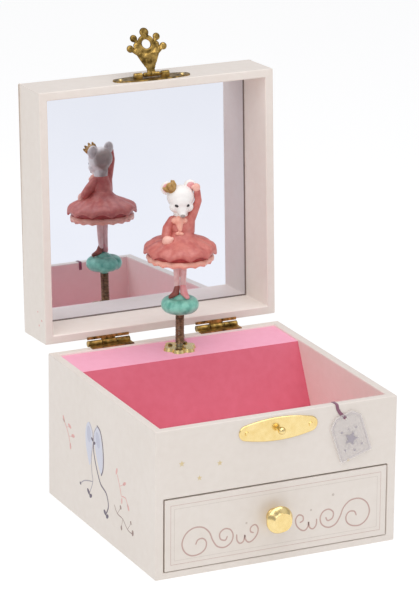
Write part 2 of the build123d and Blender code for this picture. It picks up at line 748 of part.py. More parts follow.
bracket_x = (-37.0, -35.5)
with BuildPart() as governor_bracket:
    with BuildSketch(Plane.YZ.offset(bracket_x[0])):
        with Locations(((30.4 + bedplate_front) / 2, 55.0)):
            Rectangle(bedplate_front - 30.4, 10.0)
    extrude(amount=bracket_x[1] - bracket_x[0])
    for low in (50.2, 58.7):
        with BuildSketch(Plane.XY.offset(low)):
            with Locations(((bracket_x[0] + governor_x + 2.2) / 2, cylinder_y)):
                Rectangle(governor_x + 2.2 - bracket_x[0], 4.4)
            with Locations((governor_x, cylinder_y)):
                Circle(arbor_radius + running_play, mode=Mode.SUBTRACT)
        extrude(amount=1.3)
    for low in (30.4, 47.9):
        with BuildSketch(Plane(origin=(0, low, 0), x_dir=(-1, 0, 0), z_dir=(0, 1, 0))):
            with Locations((-(bracket_x[0] + worm_x + 2) / 2, worm_z)):
                Rectangle(worm_x + 2 - bracket_x[0], 4)
            with Locations((-worm_x, worm_z)):
                Circle(0.6 + running_play, mode=Mode.SUBTRACT)
        extrude(amount=1.3)

# ---------------------------------------------------------------- stop wire under the lid's rim
stop_low, stop_high = fan_reach + worm_z + 1.75, 69.0
with BuildPart() as stop_wire:
    with BuildLine() as stop_path:
        FilletPolyline(
            (worm_x, 45.5, stop_low),
            (stop_wire_x, 45.5, stop_low),
            (stop_wire_x, inner_y - 2, stop_low),
            (stop_wire_x, inner_y - 2, stop_high),
            (stop_wire_x, half_depth - 1, stop_high),
            radius=1.2,
        )
    with BuildSketch(Plane(origin=stop_path.line @ 0, z_dir=stop_path.line % 0)):
        Circle(stop_wire_radius)
    sweep()

# ---------------------------------------------------------------- labels and files
pieces = {
    "base_left_wall": base_left_wall,
    "base_right_wall": base_right_wall,
    "base_back_wall": base_back_wall,
    "base_front_panel": base_front_panel,
    "base_bottom": base_bottom,
    "compartment_floor": compartment_floor,
    "drawer_bay_wall": drawer_bay_wall,
    "mechanism_shelf": mechanism_shelf,
    "mechanism_slope": mechanism_slope,
    "floor_lining": floor_lining,
    "hinge_leaves_base": hinge_leaves_base,
    "hinge_pins": hinge_pins,
    "catch_plate": catch_plate,
    "catch_stud": catch_stud,
    "catch_nails": catch_nails,
    "spindle_flange": spindle_flange,
    "flange_screws": flange_screws,
    "tag_ribbon": tag_ribbon,
    "movement_bedplate": movement_bedplate,
    "movement_bracket": movement_bracket,
    "comb_block": comb_block,
    "music_comb": music_comb,
    "comb_screws": comb_screws,
    "spring_barrel": spring_barrel,
    "mainspring": mainspring,
    "governor_bracket": governor_bracket,
    "lid_top_panel": lid_top_panel,
    "lid_front_wall": lid_front_wall,
    "lid_back_wall": lid_back_wall,
    "lid_side_walls": lid_side_walls,
    "mirror": mirror,
    "hinge_leaves_lid": hinge_leaves_lid,
    "hasp_plate": hasp_plate,
    "hasp_nails": hasp_nails,
    "hasp_pin": hasp_pin,
    "hasp": hasp,
    "drawer_front": drawer_front,
    "drawer_sides": drawer_sides,
    "drawer_back_board": drawer_back_board,
    "drawer_bottom": drawer_bottom,
    "drawer_lining": drawer_lining,
    "drawer_knob": drawer_knob,
    "knob_screw": knob_screw,
    "tag": tag,
    "stop_wire": stop_wire,
    "dancer_spring": dancer_spring,
    "dancer_pedestal": dancer_pedestal,
    "dancer_slippers": dancer_slippers,
    "dancer_legs": dancer_legs,
    "dancer_underskirt": dancer_underskirt,
    "dancer_overskirt": dancer_overskirt,
    "dancer_bodice": dancer_bodice,
    "dancer_head": dancer_head,
    "dancer_arms": dancer_arms,
    "music_cylinder": music_cylinder,
    "spindle": spindle,
    "winding_wheel": winding_wheel,
    "winding_key": winding_key,
    "governor_wheel": governor_wheel,
    "governor_fan": governor_fan,
}
os.makedirs("parts", exist_ok=True)
for label, piece in pieces.items():
    piece.part.label = label
    export_step(piece.part, f"parts/{label}.step")
print(len(pieces), "pieces written")
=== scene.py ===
# %% [markdown]
# # A ballerina jewellery box
# The box is grey board wrapped in printed paper, with a mirrored lid, a drawer, brass fittings
# and a painted resin dancer on a coil spring. The boards, fittings and movement come in as a
# fixed frame, and each cell below adds one finish or one piece to it.

# %% The frame and its measurements
import json
import math

import bmesh
import bpy
from mathutils import Matrix, Vector


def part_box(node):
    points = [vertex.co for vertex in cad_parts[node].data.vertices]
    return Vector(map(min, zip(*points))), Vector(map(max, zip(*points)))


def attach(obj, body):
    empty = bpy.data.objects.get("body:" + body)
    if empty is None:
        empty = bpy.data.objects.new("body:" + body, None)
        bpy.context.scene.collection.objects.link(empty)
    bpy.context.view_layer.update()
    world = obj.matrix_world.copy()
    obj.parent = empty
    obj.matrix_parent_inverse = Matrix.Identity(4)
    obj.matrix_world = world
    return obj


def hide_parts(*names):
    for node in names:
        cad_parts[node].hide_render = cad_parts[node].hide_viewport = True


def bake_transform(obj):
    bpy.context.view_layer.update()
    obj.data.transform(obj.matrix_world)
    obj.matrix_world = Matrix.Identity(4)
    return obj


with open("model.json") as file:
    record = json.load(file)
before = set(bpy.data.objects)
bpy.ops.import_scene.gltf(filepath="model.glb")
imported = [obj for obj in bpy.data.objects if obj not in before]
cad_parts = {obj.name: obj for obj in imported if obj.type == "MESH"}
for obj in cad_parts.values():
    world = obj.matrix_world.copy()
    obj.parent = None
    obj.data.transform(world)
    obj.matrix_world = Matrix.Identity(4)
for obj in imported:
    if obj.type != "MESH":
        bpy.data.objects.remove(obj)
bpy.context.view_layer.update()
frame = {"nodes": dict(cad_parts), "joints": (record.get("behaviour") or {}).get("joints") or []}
nodes = frame["nodes"]
joints = {joint["name"]: joint for joint in frame["joints"]}
mm = 0.001

case_low, case_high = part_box("base_left_wall")
case_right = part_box("base_right_wall")[1].x
front_y, rim_z = case_low.y, case_high.z
print("box", [round(v / mm, 1) for v in (case_right - case_low.x, case_high.y - front_y, rim_z)])

# %% [markdown]
# The camera stands well back with a long lens, a little to the left of the front and slightly
# above, so the lid's mirror and the inside of the box both show. The lens shift only frames it.

# %% Camera
azimuth, elevation, roll = math.radians(-25.496), math.radians(17.299), math.radians(0.39)
distance, aim_height = 1.49532, 0.060
back = Vector(
    (
        math.sin(azimuth) * math.cos(elevation),
        -math.cos(azimuth) * math.cos(elevation),
        math.sin(elevation),
    )
)
right = Vector((math.cos(azimuth), math.sin(azimuth), 0))
up = back.cross(right)
camera = bpy.data.objects.new("camera", bpy.data.cameras.new("camera"))
bpy.context.scene.collection.objects.link(camera)
place = Vector((0, 0, aim_height)) + back * distance + right * -0.01057 + up * 0.0475
turn = Matrix((right, up, back)).transposed().to_4x4()
camera.matrix_world = Matrix.Translation(place) @ turn @ Matrix.Rotation(roll, 4, "Z")
camera.data.sensor_width = 36
camera.data.lens = 203.8
camera.data.shift_x, camera.data.shift_y = 0.022, -0.032
camera.data.clip_end = 20
bpy.context.scene.camera = camera

# %% [markdown]
# A studio sweep: one pale floor, a bright even surround, a large soft key from the upper left
# and a weak fill from the right. The even surround is what the mirror shows above the dancer.

# %% Studio


def linear(code):
    """Linear colour of an sRGB hex value."""
    parts = [int(code[i : i + 2], 16) / 255 for i in (1, 3, 5)]
    return [c / 12.92 if c <= 0.04045 else ((c + 0.055) / 1.055) ** 2.4 for c in parts] + [1.0]


def node(tree, kind, inputs=(), **settings):
    """Adds a shader node, sets its properties and sets or links its inputs."""
    added = tree.nodes.new(kind)
    for name, value in settings.items():
        setattr(added, name, value)
    for socket, value in dict(inputs).items():
        if isinstance(value, bpy.types.NodeSocket):
            tree.links.new(value, added.inputs[socket])
        else:
            added.inputs[socket].default_value = value
    return added


def material(name, **shader):
    """A material with its main shader's sockets set, and its tree and shader."""
    made = bpy.data.materials.new(name)
    made.use_nodes = True
    tree = made.node_tree
    surface = tree.nodes["Principled BSDF"]
    for socket, value in shader.items():
        surface.inputs[socket.replace("_", " ")].default_value = value
    return made, tree, surface


scene = bpy.context.scene
scene.view_settings.view_transform = "Standard"
world = bpy.data.worlds.new("studio surround")
scene.world = world
world.use_nodes = True
world.node_tree.nodes["Background"].inputs["Color"].default_value = linear("#f4f5fb")
world.node_tree.nodes["Background"].inputs["Strength"].default_value = 0.5


def soft_light(name, towards, reach, size, power):
    """A square area light at a direction from the box, pointing at it."""
    light = bpy.data.objects.new(name, bpy.data.lights.new(name, "AREA"))
    scene.collection.objects.link(light)
    direction = Vector(towards).normalized()
    light.matrix_world = (
        Matrix.Translation(Vector((0, 0, 0.08)) + direction * reach)
        @ direction.to_track_quat("Z", "Y").to_matrix().to_4x4()
    )
    light.data.size = size
    light.data.energy = power


soft_light("key light", (-1.1, -0.75, 1.3), 1.0, 0.8, 2.9)
soft_light("overhead light", (0.15, -0.3, 1.6), 1.0, 1.0, 5.0)
soft_light("fill light", (1.0, -0.8, 0.7), 1.1, 0.8, 0.6)

floor_paint, tree, surface = material("studio floor", Roughness=0.9)
surface.inputs["Base Color"].default_value = linear("#898989")
surface.inputs["Emission Color"].default_value = linear("#ffffff")
surface.inputs["Emission Strength"].default_value = 0.8
floor_mesh = bpy.data.meshes.new("floor")
reach = 6.0
corners = [(-reach, -reach, 0), (reach, -reach, 0), (reach, reach, 0), (-reach, reach, 0)]
floor_mesh.from_pydata(corners, [], [(0, 1, 2, 3)])
floor = bpy.data.objects.new("floor", floor_mesh)
floor_mesh.materials.append(floor_paint)
scene.collection.objects.link(floor)

# %% [markdown]
# ## Papers
# The box is wrapped in coated art paper: a faint fibre mottle, a soft sheen, and a very shallow
# waviness where it was pasted to the board. The inside papers are dyed and uncoated.

# %% Wrapping papers


def paper(name, colour, shade, roughness, coat=0.0):
    """Pasted paper: fibre mottle between two colours, fine tooth and a slow pasting wave."""
    made, tree, surface = material(name, Roughness=roughness, Coat_Weight=coat, Coat_Roughness=0.3)
    place = node(tree, "ShaderNodeTexCoord").outputs["Object"]
    mottle = node(tree, "ShaderNodeTexNoise", {"Vector": place, "Scale": 260.0, "Detail": 6.0})
    cloud = node(tree, "ShaderNodeTexNoise", {"Vector": place, "Scale": 22.0, "Detail": 2.0})
    both = node(
        tree, "ShaderNodeMath", {0: mottle.outputs["Fac"], 1: cloud.outputs["Fac"]}, operation="ADD"
    )
    tone = node(
        tree, "ShaderNodeMapRange", {"Value": both.outputs[0], "From Min": 0.7, "From Max": 1.3},
    )
    blend = node(
        tree,
        "ShaderNodeMix",
        {"Factor": tone.outputs["Result"], "A": linear(shade), "B": linear(colour)},
        data_type="RGBA",
    )
    tree.links.new(blend.outputs["Result"], surface.inputs["Base Color"])
    wave = node(
        tree, "ShaderNodeBump",
        {"Height": cloud.outputs["Fac"], "Strength": 0.06, "Distance": 0.4 * mm},
    )
    tooth = node(
        tree, "ShaderNodeBump",
        {
            "Height": mottle.outputs["Fac"],
            "Strength": 0.12,
            "Distance": 0.05 * mm,
            "Normal": wave.outputs["Normal"],
        },
    )
    tree.links.new(tooth.outputs["Normal"], surface.inputs["Normal"])
    return made


cream_paper = paper("coated cream wrapping paper", "#ebe2d9", "#e6dcd2", 0.48, coat=0.12)
# Lighter than the outside paper: partly the real white lining, partly painted light for the shade
# inside the box.
lining_paper_with_painted_light = paper("ivory lining paper lightened as painted light", "#f8efe6", "#f4e9df", 0.75)
raspberry_paper = paper("dyed raspberry lining paper", "#e27489", "#dc6a7f", 0.7)
rose_paper = paper("dyed rose lining paper", "#fbb4cb", "#f7abc3", 0.7)

# %% [markdown]
# ## Metals
# The catch plate and the knob are pressed brass, polished and lacquered, so they mirror the room
# with a slight haze. The hinges and the hasp are cast or stamped brass with a brown antique
# finish, rubbed back on the high spots. The movement is plain steel, zinc and turned brass.

# %% Metals


def metal(name, colour, tarnish, roughness, grain, wear):
    """A metal whose colour and polish change between bright and tarnished in patches."""
    made, tree, surface = material(name, Metallic=1.0)
    place = node(tree, "ShaderNodeTexCoord").outputs["Object"]
    patches = node(tree, "ShaderNodeTexNoise", {"Vector": place, "Scale": grain, "Detail": 5.0})
    spread = node(
        tree, "ShaderNodeMapRange",
        {"Value": patches.outputs["Fac"], "From Min": 0.5 - wear, "From Max": 0.5 + wear},
    )
    blend = node(
        tree, "ShaderNodeMix",
        {"Factor": spread.outputs["Result"], "A": linear(tarnish), "B": linear(colour)},
        data_type="RGBA",
    )
    polish = node(
        tree, "ShaderNodeMapRange",
        {"Value": spread.outputs["Result"], "To Min": roughness * 1.5, "To Max": roughness},
    )
    dents = node(
        tree, "ShaderNodeBump",
        {"Height": patches.outputs["Fac"], "Strength": 0.15, "Distance": 0.1 * mm},
    )
    tree.links.new(blend.outputs["Result"], surface.inputs["Base Color"])
    tree.links.new(polish.outputs["Result"], surface.inputs["Roughness"])
    tree.links.new(dents.outputs["Normal"], surface.inputs["Normal"])
    return made


polished_brass = metal("polished lacquered brass", "#f8e2a8", "#ecce88", 0.16, 300.0, 0.3)
antique_brass = metal("antique plated brass", "#c6a35c", "#5c471f", 0.3, 450.0, 0.16)
drawn_steel = metal("drawn steel", "#b9b6b0", "#8d8983", 0.3, 900.0, 0.3)
cast_zinc = metal("die cast zinc", "#b4b5b8", "#97989b", 0.45, 700.0, 0.3)
turned_brass = metal("turned brass", "#dcb868", "#b48c42", 0.28, 700.0, 0.3)
spring_steel = metal("bronzed spring wire", "#b39678", "#66503f", 0.34, 600.0, 0.25)

# %% [markdown]
# ## Mirror, tag, ribbon, felt and resin
# The mirror is silvered float glass: almost no roughness and a slightly cool white. The tag is
# frosted film, the ribbon woven satin, the drawer lining flocked paper. The dancer is cast resin
# painted by hand in thin acrylic, so the colour pools a little in hollows and thins on edges.

# %% Mirror, film, cloth and paint
mirror_glass, tree, surface = material("silvered mirror glass", Metallic=1.0, Roughness=0.01)
place = node(tree, "ShaderNodeTexCoord").outputs["Object"]
haze = node(tree, "ShaderNodeTexNoise", {"Vector": place, "Scale": 30.0, "Detail": 3.0})
silver = node(
    tree, "ShaderNodeMix",
    {"Factor": haze.outputs["Fac"], "A": linear("#e4e7f0"), "B": linear("#eaecf4")},
    data_type="RGBA",
)
tree.links.new(silver.outputs["Result"], surface.inputs["Base Color"])

tag_film, tree, surface = material(
    "frosted tag film", Roughness=0.45, Alpha=0.34, Coat_Weight=0.3, Coat_Roughness=0.2
)
place = node(tree, "ShaderNodeTexCoord").outputs["Object"]
frost = node(tree, "ShaderNodeTexNoise", {"Vector": place, "Scale": 900.0, "Detail": 4.0})
tint = node(
    tree, "ShaderNodeMix",
    {"Factor": frost.outputs["Fac"], "A": linear("#e9e3e1"), "B": linear("#f3eeec")},
    data_type="RGBA",
)
relief = node(
    tree, "ShaderNodeBump",
    {"Height": frost.outputs["Fac"], "Strength": 0.2, "Distance": 0.05 * mm},
)
tree.links.new(tint.outputs["Result"], surface.inputs["Base Color"])
tree.links.new(relief.outputs["Normal"], surface.inputs["Normal"])


def cloth(name, colour, shade, thread_mm, sheen):
    """Fine woven or flocked cloth: crossed threads at a real spacing, with sheen."""
    made, tree, surface = material(name, Roughness=0.8, Sheen_Weight=sheen, Sheen_Roughness=0.4)
    place = node(tree, "ShaderNodeTexCoord").outputs["Object"]
    bands = 2 * math.pi / (thread_mm * mm) / 20
    warp = node(tree, "ShaderNodeTexWave", {"Vector": place, "Scale": bands}, bands_direction="X")
    weft = node(tree, "ShaderNodeTexWave", {"Vector": place, "Scale": bands}, bands_direction="Z")
    crossed = node(
        tree, "ShaderNodeMath", {0: warp.outputs["Fac"], 1: weft.outputs["Fac"]}, operation="MULTIPLY"
    )
    blend = node(
        tree, "ShaderNodeMix",
        {"Factor": crossed.outputs[0], "A": linear(shade), "B": linear(colour)},
        data_type="RGBA",
    )
    bump = node(
        tree, "ShaderNodeBump",
        {"Height": crossed.outputs[0], "Strength": 0.4, "Distance": 0.05 * mm},
    )
    tree.links.new(blend.outputs["Result"], surface.inputs["Base Color"])
    tree.links.new(bump.outputs["Normal"], surface.inputs["Normal"])
    return made


satin_ribbon = cloth("woven satin ribbon", "#a37080", "#84566a", 0.25, 0.6)
flocked_lining = cloth("flocked rose lining", "#df8196", "#d06f86", 0.5, 0.8)


def resin_paint(name, colour, shade, roughness=0.42):
    """Brushed acrylic on cast resin: pooled and thinned colour, with faint brush relief."""
    made, tree, surface = material(name, Roughness=roughness, Coat_Weight=0.2, Coat_Roughness=0.3)
    place = node(tree, "ShaderNodeTexCoord").outputs["Object"]
    pools = node(tree, "ShaderNodeTexNoise", {"Vector": place, "Scale": 330.0, "Detail": 4.0})
    spread = node(
        tree, "ShaderNodeMapRange",
        {"Value": pools.outputs["Fac"], "From Min": 0.34, "From Max": 0.62},
    )
    blend = node(
        tree, "ShaderNodeMix",
        {"Factor": spread.outputs["Result"], "A": linear(shade), "B": linear(colour)},
        data_type="RGBA",
    )
    brush = node(
        tree, "ShaderNodeBump",
        {"Height": pools.outputs["Fac"], "Strength": 0.25, "Distance": 0.12 * mm},
    )
    tree.links.new(blend.outputs["Result"], surface.inputs["Base Color"])
    tree.links.new(brush.outputs["Normal"], surface.inputs["Normal"])
    return made


teal_paint = resin_paint("teal acrylic on resin", "#8edbc6", "#5fb29f", 0.3)
coral_paint = resin_paint("coral acrylic on resin", "#d37d72", "#be5f58")
# A darker coral used only under the overskirt's hem, as painted shade.
painted_shade_coral = resin_paint("coral darkened as painted shade under the hem", "#b5433f", "#9a322f")
peach_paint = resin_paint("peach acrylic on resin", "#f6b9a6", "#eea28d")
pink_paint = resin_paint("pink acrylic on resin", "#f0aeb0", "#e79a9c")
skin_pink = resin_paint("pale pink acrylic on resin", "#edd0cc", "#dfb8b4")
hand_paint = resin_paint("peach pink acrylic on resin", "#f7c3b4", "#efb09f")
grey_paint = resin_paint("mouse grey acrylic on resin", "#a89a94", "#8d7f79")
russet_paint = resin_paint("russet acrylic on resin", "#a35b4e", "#7d3f36")
dark_paint = resin_paint("dark brown acrylic on resin", "#5d3a33", "#472a25")
ochre_paint = resin_paint("ochre gold acrylic on resin", "#c39a58", "#9d7436")
black_paint = resin_paint("black acrylic on resin", "#2a2426", "#1f1a1c", 0.2)

# %% [markdown]
# ## The finish of each fixed part
# Every board, fitting and gear of the frame takes the finish of its slot. The hidden movement
# gets the same care, because it shows as soon as someone takes the back off.

# %% Finishes by slot
finishes = {
    "cream_paper": cream_paper,
    "front_paper": cream_paper,
    "pale_pink_paper": rose_paper,
    "raspberry_paper": raspberry_paper,
    "drawer_felt": flocked_lining,
    "mirror_glass": mirror_glass,
    "gold_brass": polished_brass,
    "aged_brass": antique_brass,
    "movement_brass": turned_brass,
    "zinc": cast_zinc,
    "steel": drawn_steel,
    "spring_wire": spring_steel,
    "ribbon_cloth": satin_ribbon,
    "tag_film": tag_film,
    "fan_plastic": dark_paint,
}
slot_of = {}
for name, part in nodes.items():
    slot_of[name] = part.data.materials[0].name.split(".")[0]
    finish = finishes.get(slot_of[name], cream_paper)
    part.data.materials.clear()
    part.data.materials.append(finish)
print("slots", sorted(set(slot_of.values())))

# %% [markdown]
# ## Wrapped boards
# On the real box one sheet of paper wraps several glued boards, so no joint shows between them and
# every edge is softly rounded by the folded paper. The boards are joined with a boolean union,
# flat faces are merged, and a small bevel rounds the folds.

# %% Joining boards into one wrapped shell


def add_piece(name, mesh, finish, body, replaces=()):
    """Puts a mesh in the scene as a piece that rides on a body."""
    made = bpy.data.objects.new(name, mesh)
    scene.collection.objects.link(made)
    if finish is not None:
        mesh.materials.clear()
        mesh.materials.append(finish)
    if replaces:
        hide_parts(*replaces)
    if body:
        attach(made, body)
    return made


def baked(made):
    """Applies all modifiers of an object to its mesh."""
    graph = bpy.context.evaluated_depsgraph_get()
    graph.update()
    mesh = bpy.data.meshes.new_from_object(made.evaluated_get(graph))
    made.modifiers.clear()
    old = made.data
    made.data = mesh
    bpy.data.meshes.remove(old)
    return made


def welded_copy(name, part):
    """A copy of a fixed part whose faces share corners, so that it can be cut and joined."""
    copy = bpy.data.objects.new(name, nodes[part].data.copy())
    scene.collection.objects.link(copy)
    weld = bmesh.new()
    weld.from_mesh(copy.data)
    bmesh.ops.remove_doubles(weld, verts=weld.verts, dist=0.002 * mm)
    weld.to_mesh(copy.data)
    weld.free()
    return copy


def wrapped(name, boards, fold, body, finish, steps=3, lined=None):
    """One shell from several boards, with its folds rounded to a radius in metres."""
    copies = [welded_copy(name + "_" + board, board) for board in boards]
    shell = copies[0]
    shell.name = name
    for copy in copies[1:]:
        join = shell.modifiers.new(copy.name, "BOOLEAN")
        join.operation, join.solver, join.object = "UNION", "MANIFOLD", copy
    baked(shell)
    for copy in copies[1:]:
        bpy.data.objects.remove(copy)
    flat = bmesh.new()
    flat.from_mesh(shell.data)
    bmesh.ops.remove_doubles(flat, verts=flat.verts, dist=0.02 * mm)
    bmesh.ops.dissolve_limit(
        flat, angle_limit=math.radians(1), verts=flat.verts, edges=flat.edges, delimit={"NORMAL"}
    )
    flat.to_mesh(shell.data)
    flat.free()
    round_over = shell.modifiers.new("folds", "BEVEL")
    round_over.width, round_over.segments = fold, steps
    round_over.limit_method, round_over.angle_limit = "ANGLE", math.radians(40)
    baked(shell)
    # Shading directions kept from the flat boards would darken the rounded folds.
    board_normals = shell.data.attributes.get("custom_normal")
    if board_normals:
        shell.data.attributes.remove(board_normals)
    outward = bmesh.new()
    outward.from_mesh(shell.data)
    bmesh.ops.recalc_face_normals(outward, faces=outward.faces)
    outward.to_mesh(shell.data)
    outward.free()
    shell.data.materials.clear()
    shell.data.materials.append(finish)
    # Inner faces take the lining paper, which is real lining made lighter as painted light.
    if lined:
        shell.data.materials.append(lining_paper_with_painted_light)
        for face in shell.data.polygons:
            face.material_index = int(lined(face.center / mm, face.normal))
    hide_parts(*boards)
    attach(shell, body)
    print(name, len(shell.data.polygons), "faces")
    return shell


base_boards = (
    "base_left_wall", "base_right_wall", "base_back_wall", "base_front_panel", "base_bottom",
)
lid_boards = ("lid_top_panel", "lid_front_wall", "lid_back_wall", "lid_side_walls")
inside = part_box("floor_lining")[1].x / mm + 0.2


def in_box(centre, normal):
    """True for the inner faces of the box's walls."""
    return max(abs(centre.x), abs(centre.y)) < inside and centre.z > 3 and abs(normal.z) < 0.5


def in_lid(centre, normal):
    """True for the inner faces of the lid's walls and its ceiling."""
    middle_y, middle_z = 76.0, 126.5
    deep = abs(centre.x) < inside and abs(centre.z - middle_z) < inside and centre.y < 85.5
    faces_in = normal.dot(Vector((-centre.x, 0, middle_z - centre.z)).normalized()) > 0.3
    return deep and (faces_in or centre.y > middle_y and normal.y < -0.5)


wrapped(
    "base_shell", base_boards, 0.55 * mm, "base", cream_paper, lined=in_box
)
wrapped("lid_shell", lid_boards, 0.5 * mm, "lid", cream_paper, lined=in_lid)
wrapped(
    "drawer_face", ("drawer_front",), 0.45 * mm, "drawer", cream_paper
)

# %% [markdown]
# ## Mirror edge and hinge leaves
# A thin dark strip in the gap round the glass is painted shadow for that gap. The lid's hinge
# leaves are let into a slot in the board, so only their knuckles and a narrow strip show.

# %% Painted shadow strip round the glass
# A dark strip laid in the gap round the glass, standing for the shadow in that gap.
gap_shadow_paint, tree, surface = material("painted shadow in the mirror gap", Roughness=0.5)
place = node(tree, "ShaderNodeTexCoord").outputs["Object"]
shadow_mottle = node(tree, "ShaderNodeTexNoise", {"Vector": place, "Scale": 500.0, "Detail": 3.0})
brown = node(
    tree, "ShaderNodeMix",
    {"Factor": shadow_mottle.outputs["Fac"], "A": linear("#6e625e"), "B": linear("#8b7e79")},
    data_type="RGBA",
)
tree.links.new(brown.outputs["Result"], surface.inputs["Base Color"])

lid_turn = math.radians(joints["lid_hinge"]["range_deg"][1])
hinge = Vector(joints["lid_hinge"]["pos_m"])
lid_back_way = Vector((0, math.cos(lid_turn), -math.sin(lid_turn)))
lid_top_way = Vector((0, math.sin(lid_turn), math.cos(lid_turn)))


def on_lid(x, back_mm, top_mm):
    """A point given in the shut lid's own directions, in mm from the hinge, at its open place."""
    return hinge + Vector((x, 0, 0)) * mm + lid_back_way * back_mm * mm + lid_top_way * top_mm * mm


cavity_x, cavity_back = (-53.6, 53.6), (-113.1, -5.9)
shadow_strip = bmesh.new()
rings = []
for inset, height in ((0.02, 23.7), (0.02, 22.95), (0.62, 22.98), (0.62, 23.7)):
    x0, x1 = cavity_x[0] + inset, cavity_x[1] - inset
    y0, y1 = cavity_back[0] + inset, cavity_back[1] - inset
    corners = ((x0, y0), (x1, y0), (x1, y1), (x0, y1))
    rings.append([shadow_strip.verts.new(on_lid(x, y, height)) for x, y in corners])
for a, b in zip(rings, [*rings[1:], rings[0]]):
    for k in range(4):
        shadow_strip.faces.new((a[k], a[(k + 1) % 4], b[(k + 1) % 4], b[k]))
bmesh.ops.recalc_face_normals(shadow_strip, faces=shadow_strip.faces)
shadow_strip_mesh = bpy.data.meshes.new("mirror_gap_shadow_strip")
shadow_strip.to_mesh(shadow_strip_mesh)
shadow_strip.free()
add_piece("mirror_gap_shadow_strip", shadow_strip_mesh, gap_shadow_paint, "lid")

# %% Lid hinge knuckles
knuckles = welded_copy("lid_hinge_knuckles", "hinge_leaves_lid")
trim = bmesh.new()
trim.from_mesh(knuckles.data)
bmesh.ops.bisect_plane(
    trim, geom=[*trim.verts, *trim.edges, *trim.faces], plane_co=on_lid(0, -3.0, 0),
    plane_no=-lid_back_way, clear_outer=True,
)
bmesh.ops.holes_fill(trim, edges=[edge for edge in trim.edges if edge.is_boundary])
bmesh.ops.recalc_face_normals(trim, faces=trim.faces)
trim.to_mesh(knuckles.data)
trim.free()
knuckles.data.materials.clear()
knuckles.data.materials.append(antique_brass)
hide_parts("hinge_leaves_lid")
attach(knuckles, "lid")
nodes["hasp_plate"].data.materials[0] = antique_brass

# %% [markdown]
# ## Printed ornament
# The ornament is offset-printed ink. Each line is built as a very flat raised strip, a few
# hundredths of a millimetre proud, so it keeps crisp edges at any distance and needs no image.
# Curves pass through a few given points and are smoothed with a Catmull-Rom spline.

# %% Ink strips and filled shapes
ink_height, ink_root = 0.035 * mm, 0.12 * mm


def smooth_line(points, closed=False, steps=7):
    """Catmull-Rom curve through points in millimetres."""
    if len(points) < 3:
        return [Vector(p) for p in points]
    points = [Vector(p) for p in points]
    count = len(points)
    line = []
    for i in range(count if closed else count - 1):
        if closed:
            a, b, c, d = (points[(i + k) % count] for k in (-1, 0, 1, 2))
        else:
            a, b, c, d = (points[min(max(i + k, 0), count - 1)] for k in (-1, 0, 1, 2))
        for step in range(steps):
            t = step / steps
            line.append(
                0.5 * (
                    2 * b + (c - a) * t + (2 * a - 5 * b + 4 * c - d) * t**2
                    + (3 * b - 3 * c + d - a) * t**3
                )
            )
    return line if closed else [*line, points[-1]]


star_corners = 10


def ink(name, face, body, finish, lines=(), shapes=(), width=0.4, lift=0.0):
    """Printed ink on a face: smooth lines of a width in mm, and closed filled shapes."""
    mesh = bmesh.new()
    top, root = ink_height + lift * mm, -ink_root

    def section(point, offset, height):
        return mesh.verts.new(face((point + offset).x * mm, (point + offset).y * mm, height))

    for line in lines:
        path = smooth_line(line)
        rings = []
        for i, point in enumerate(path):
            ahead = path[min(i + 1, len(path) - 1)] - path[max(i - 1, 0)]
            side = Vector((-ahead.y, ahead.x)).normalized()
            from_end = min(i, len(path) - 1 - i)
            half = width / 2 * min(1.0, 0.45 + 0.3 * from_end)
            rings.append(
                [
                    section(point, side * s * half, h)
                    for s, h in ((-1, top), (1, top), (1, root), (-1, root))
                ]
            )
        for low, high in zip(rings, rings[1:]):
            for k in range(4):
                mesh.faces.new((low[k], low[(k + 1) % 4], high[(k + 1) % 4], high[k]))
        mesh.faces.new(rings[0][::-1])
        mesh.faces.new(rings[-1])
    for shape in shapes:
        if len(shape) == star_corners:
            outline = [Vector(corner) for corner in shape]
        else:
            outline = smooth_line(shape, closed=True, steps=5)
        upper = [section(p, Vector((0, 0)), top) for p in outline]
        lower = [section(p, Vector((0, 0)), root) for p in outline]
        mesh.faces.new(upper)
        mesh.faces.new(lower[::-1])
        for i in range(len(outline)):
            j = (i + 1) % len(outline)
            mesh.faces.new((upper[i], lower[i], lower[j], upper[j]))
    bmesh.ops.recalc_face_normals(mesh, faces=mesh.faces)
    bmesh.ops.triangulate(mesh, faces=[f for f in mesh.faces if len(f.verts) > 4])
    flat = bpy.data.meshes.new(name)
    mesh.to_mesh(flat)
    mesh.free()
    return add_piece(name, flat, finish, body)


def star(x, y, reach, inner=0.42, points=5):
    """Corners of a star, which stay sharp because a ten-corner shape isn't smoothed."""
    corners = []
    for i in range(2 * points):
        angle = math.pi / 2 + i * math.pi / points
        radius = reach * (inner if i % 2 else 1.0)
        corners.append((x + radius * math.cos(angle), y + radius * math.sin(angle)))
    return corners


def oval(x, y, long, short, turn=0.0, count=9):
    """Corners of an ellipse in mm, turned by degrees."""
    c, s = math.cos(math.radians(turn)), math.sin(math.radians(turn))
    return [
        (
            x + c * long * math.cos(a) - s * short * math.sin(a),
            y + s * long * math.cos(a) + c * short * math.sin(a),
        )
        for a in (2 * math.pi * k / count for k in range(count))
    ]


def print_ink(name, colour, shade):
    """Offset ink: matt, slightly uneven where the paper's tooth shows through."""
    made, tree, surface = material(name, Roughness=0.55)
    place = node(tree, "ShaderNodeTexCoord").outputs["Object"]
    tooth = node(tree, "ShaderNodeTexNoise", {"Vector": place, "Scale": 1500.0, "Detail": 3.0})
    blend = node(
        tree, "ShaderNodeMix",
        {"Factor": tooth.outputs["Fac"], "A": linear(shade), "B": linear(colour)},
        data_type="RGBA",
    )
    tree.links.new(blend.outputs["Result"], surface.inputs["Base Color"])
    return made


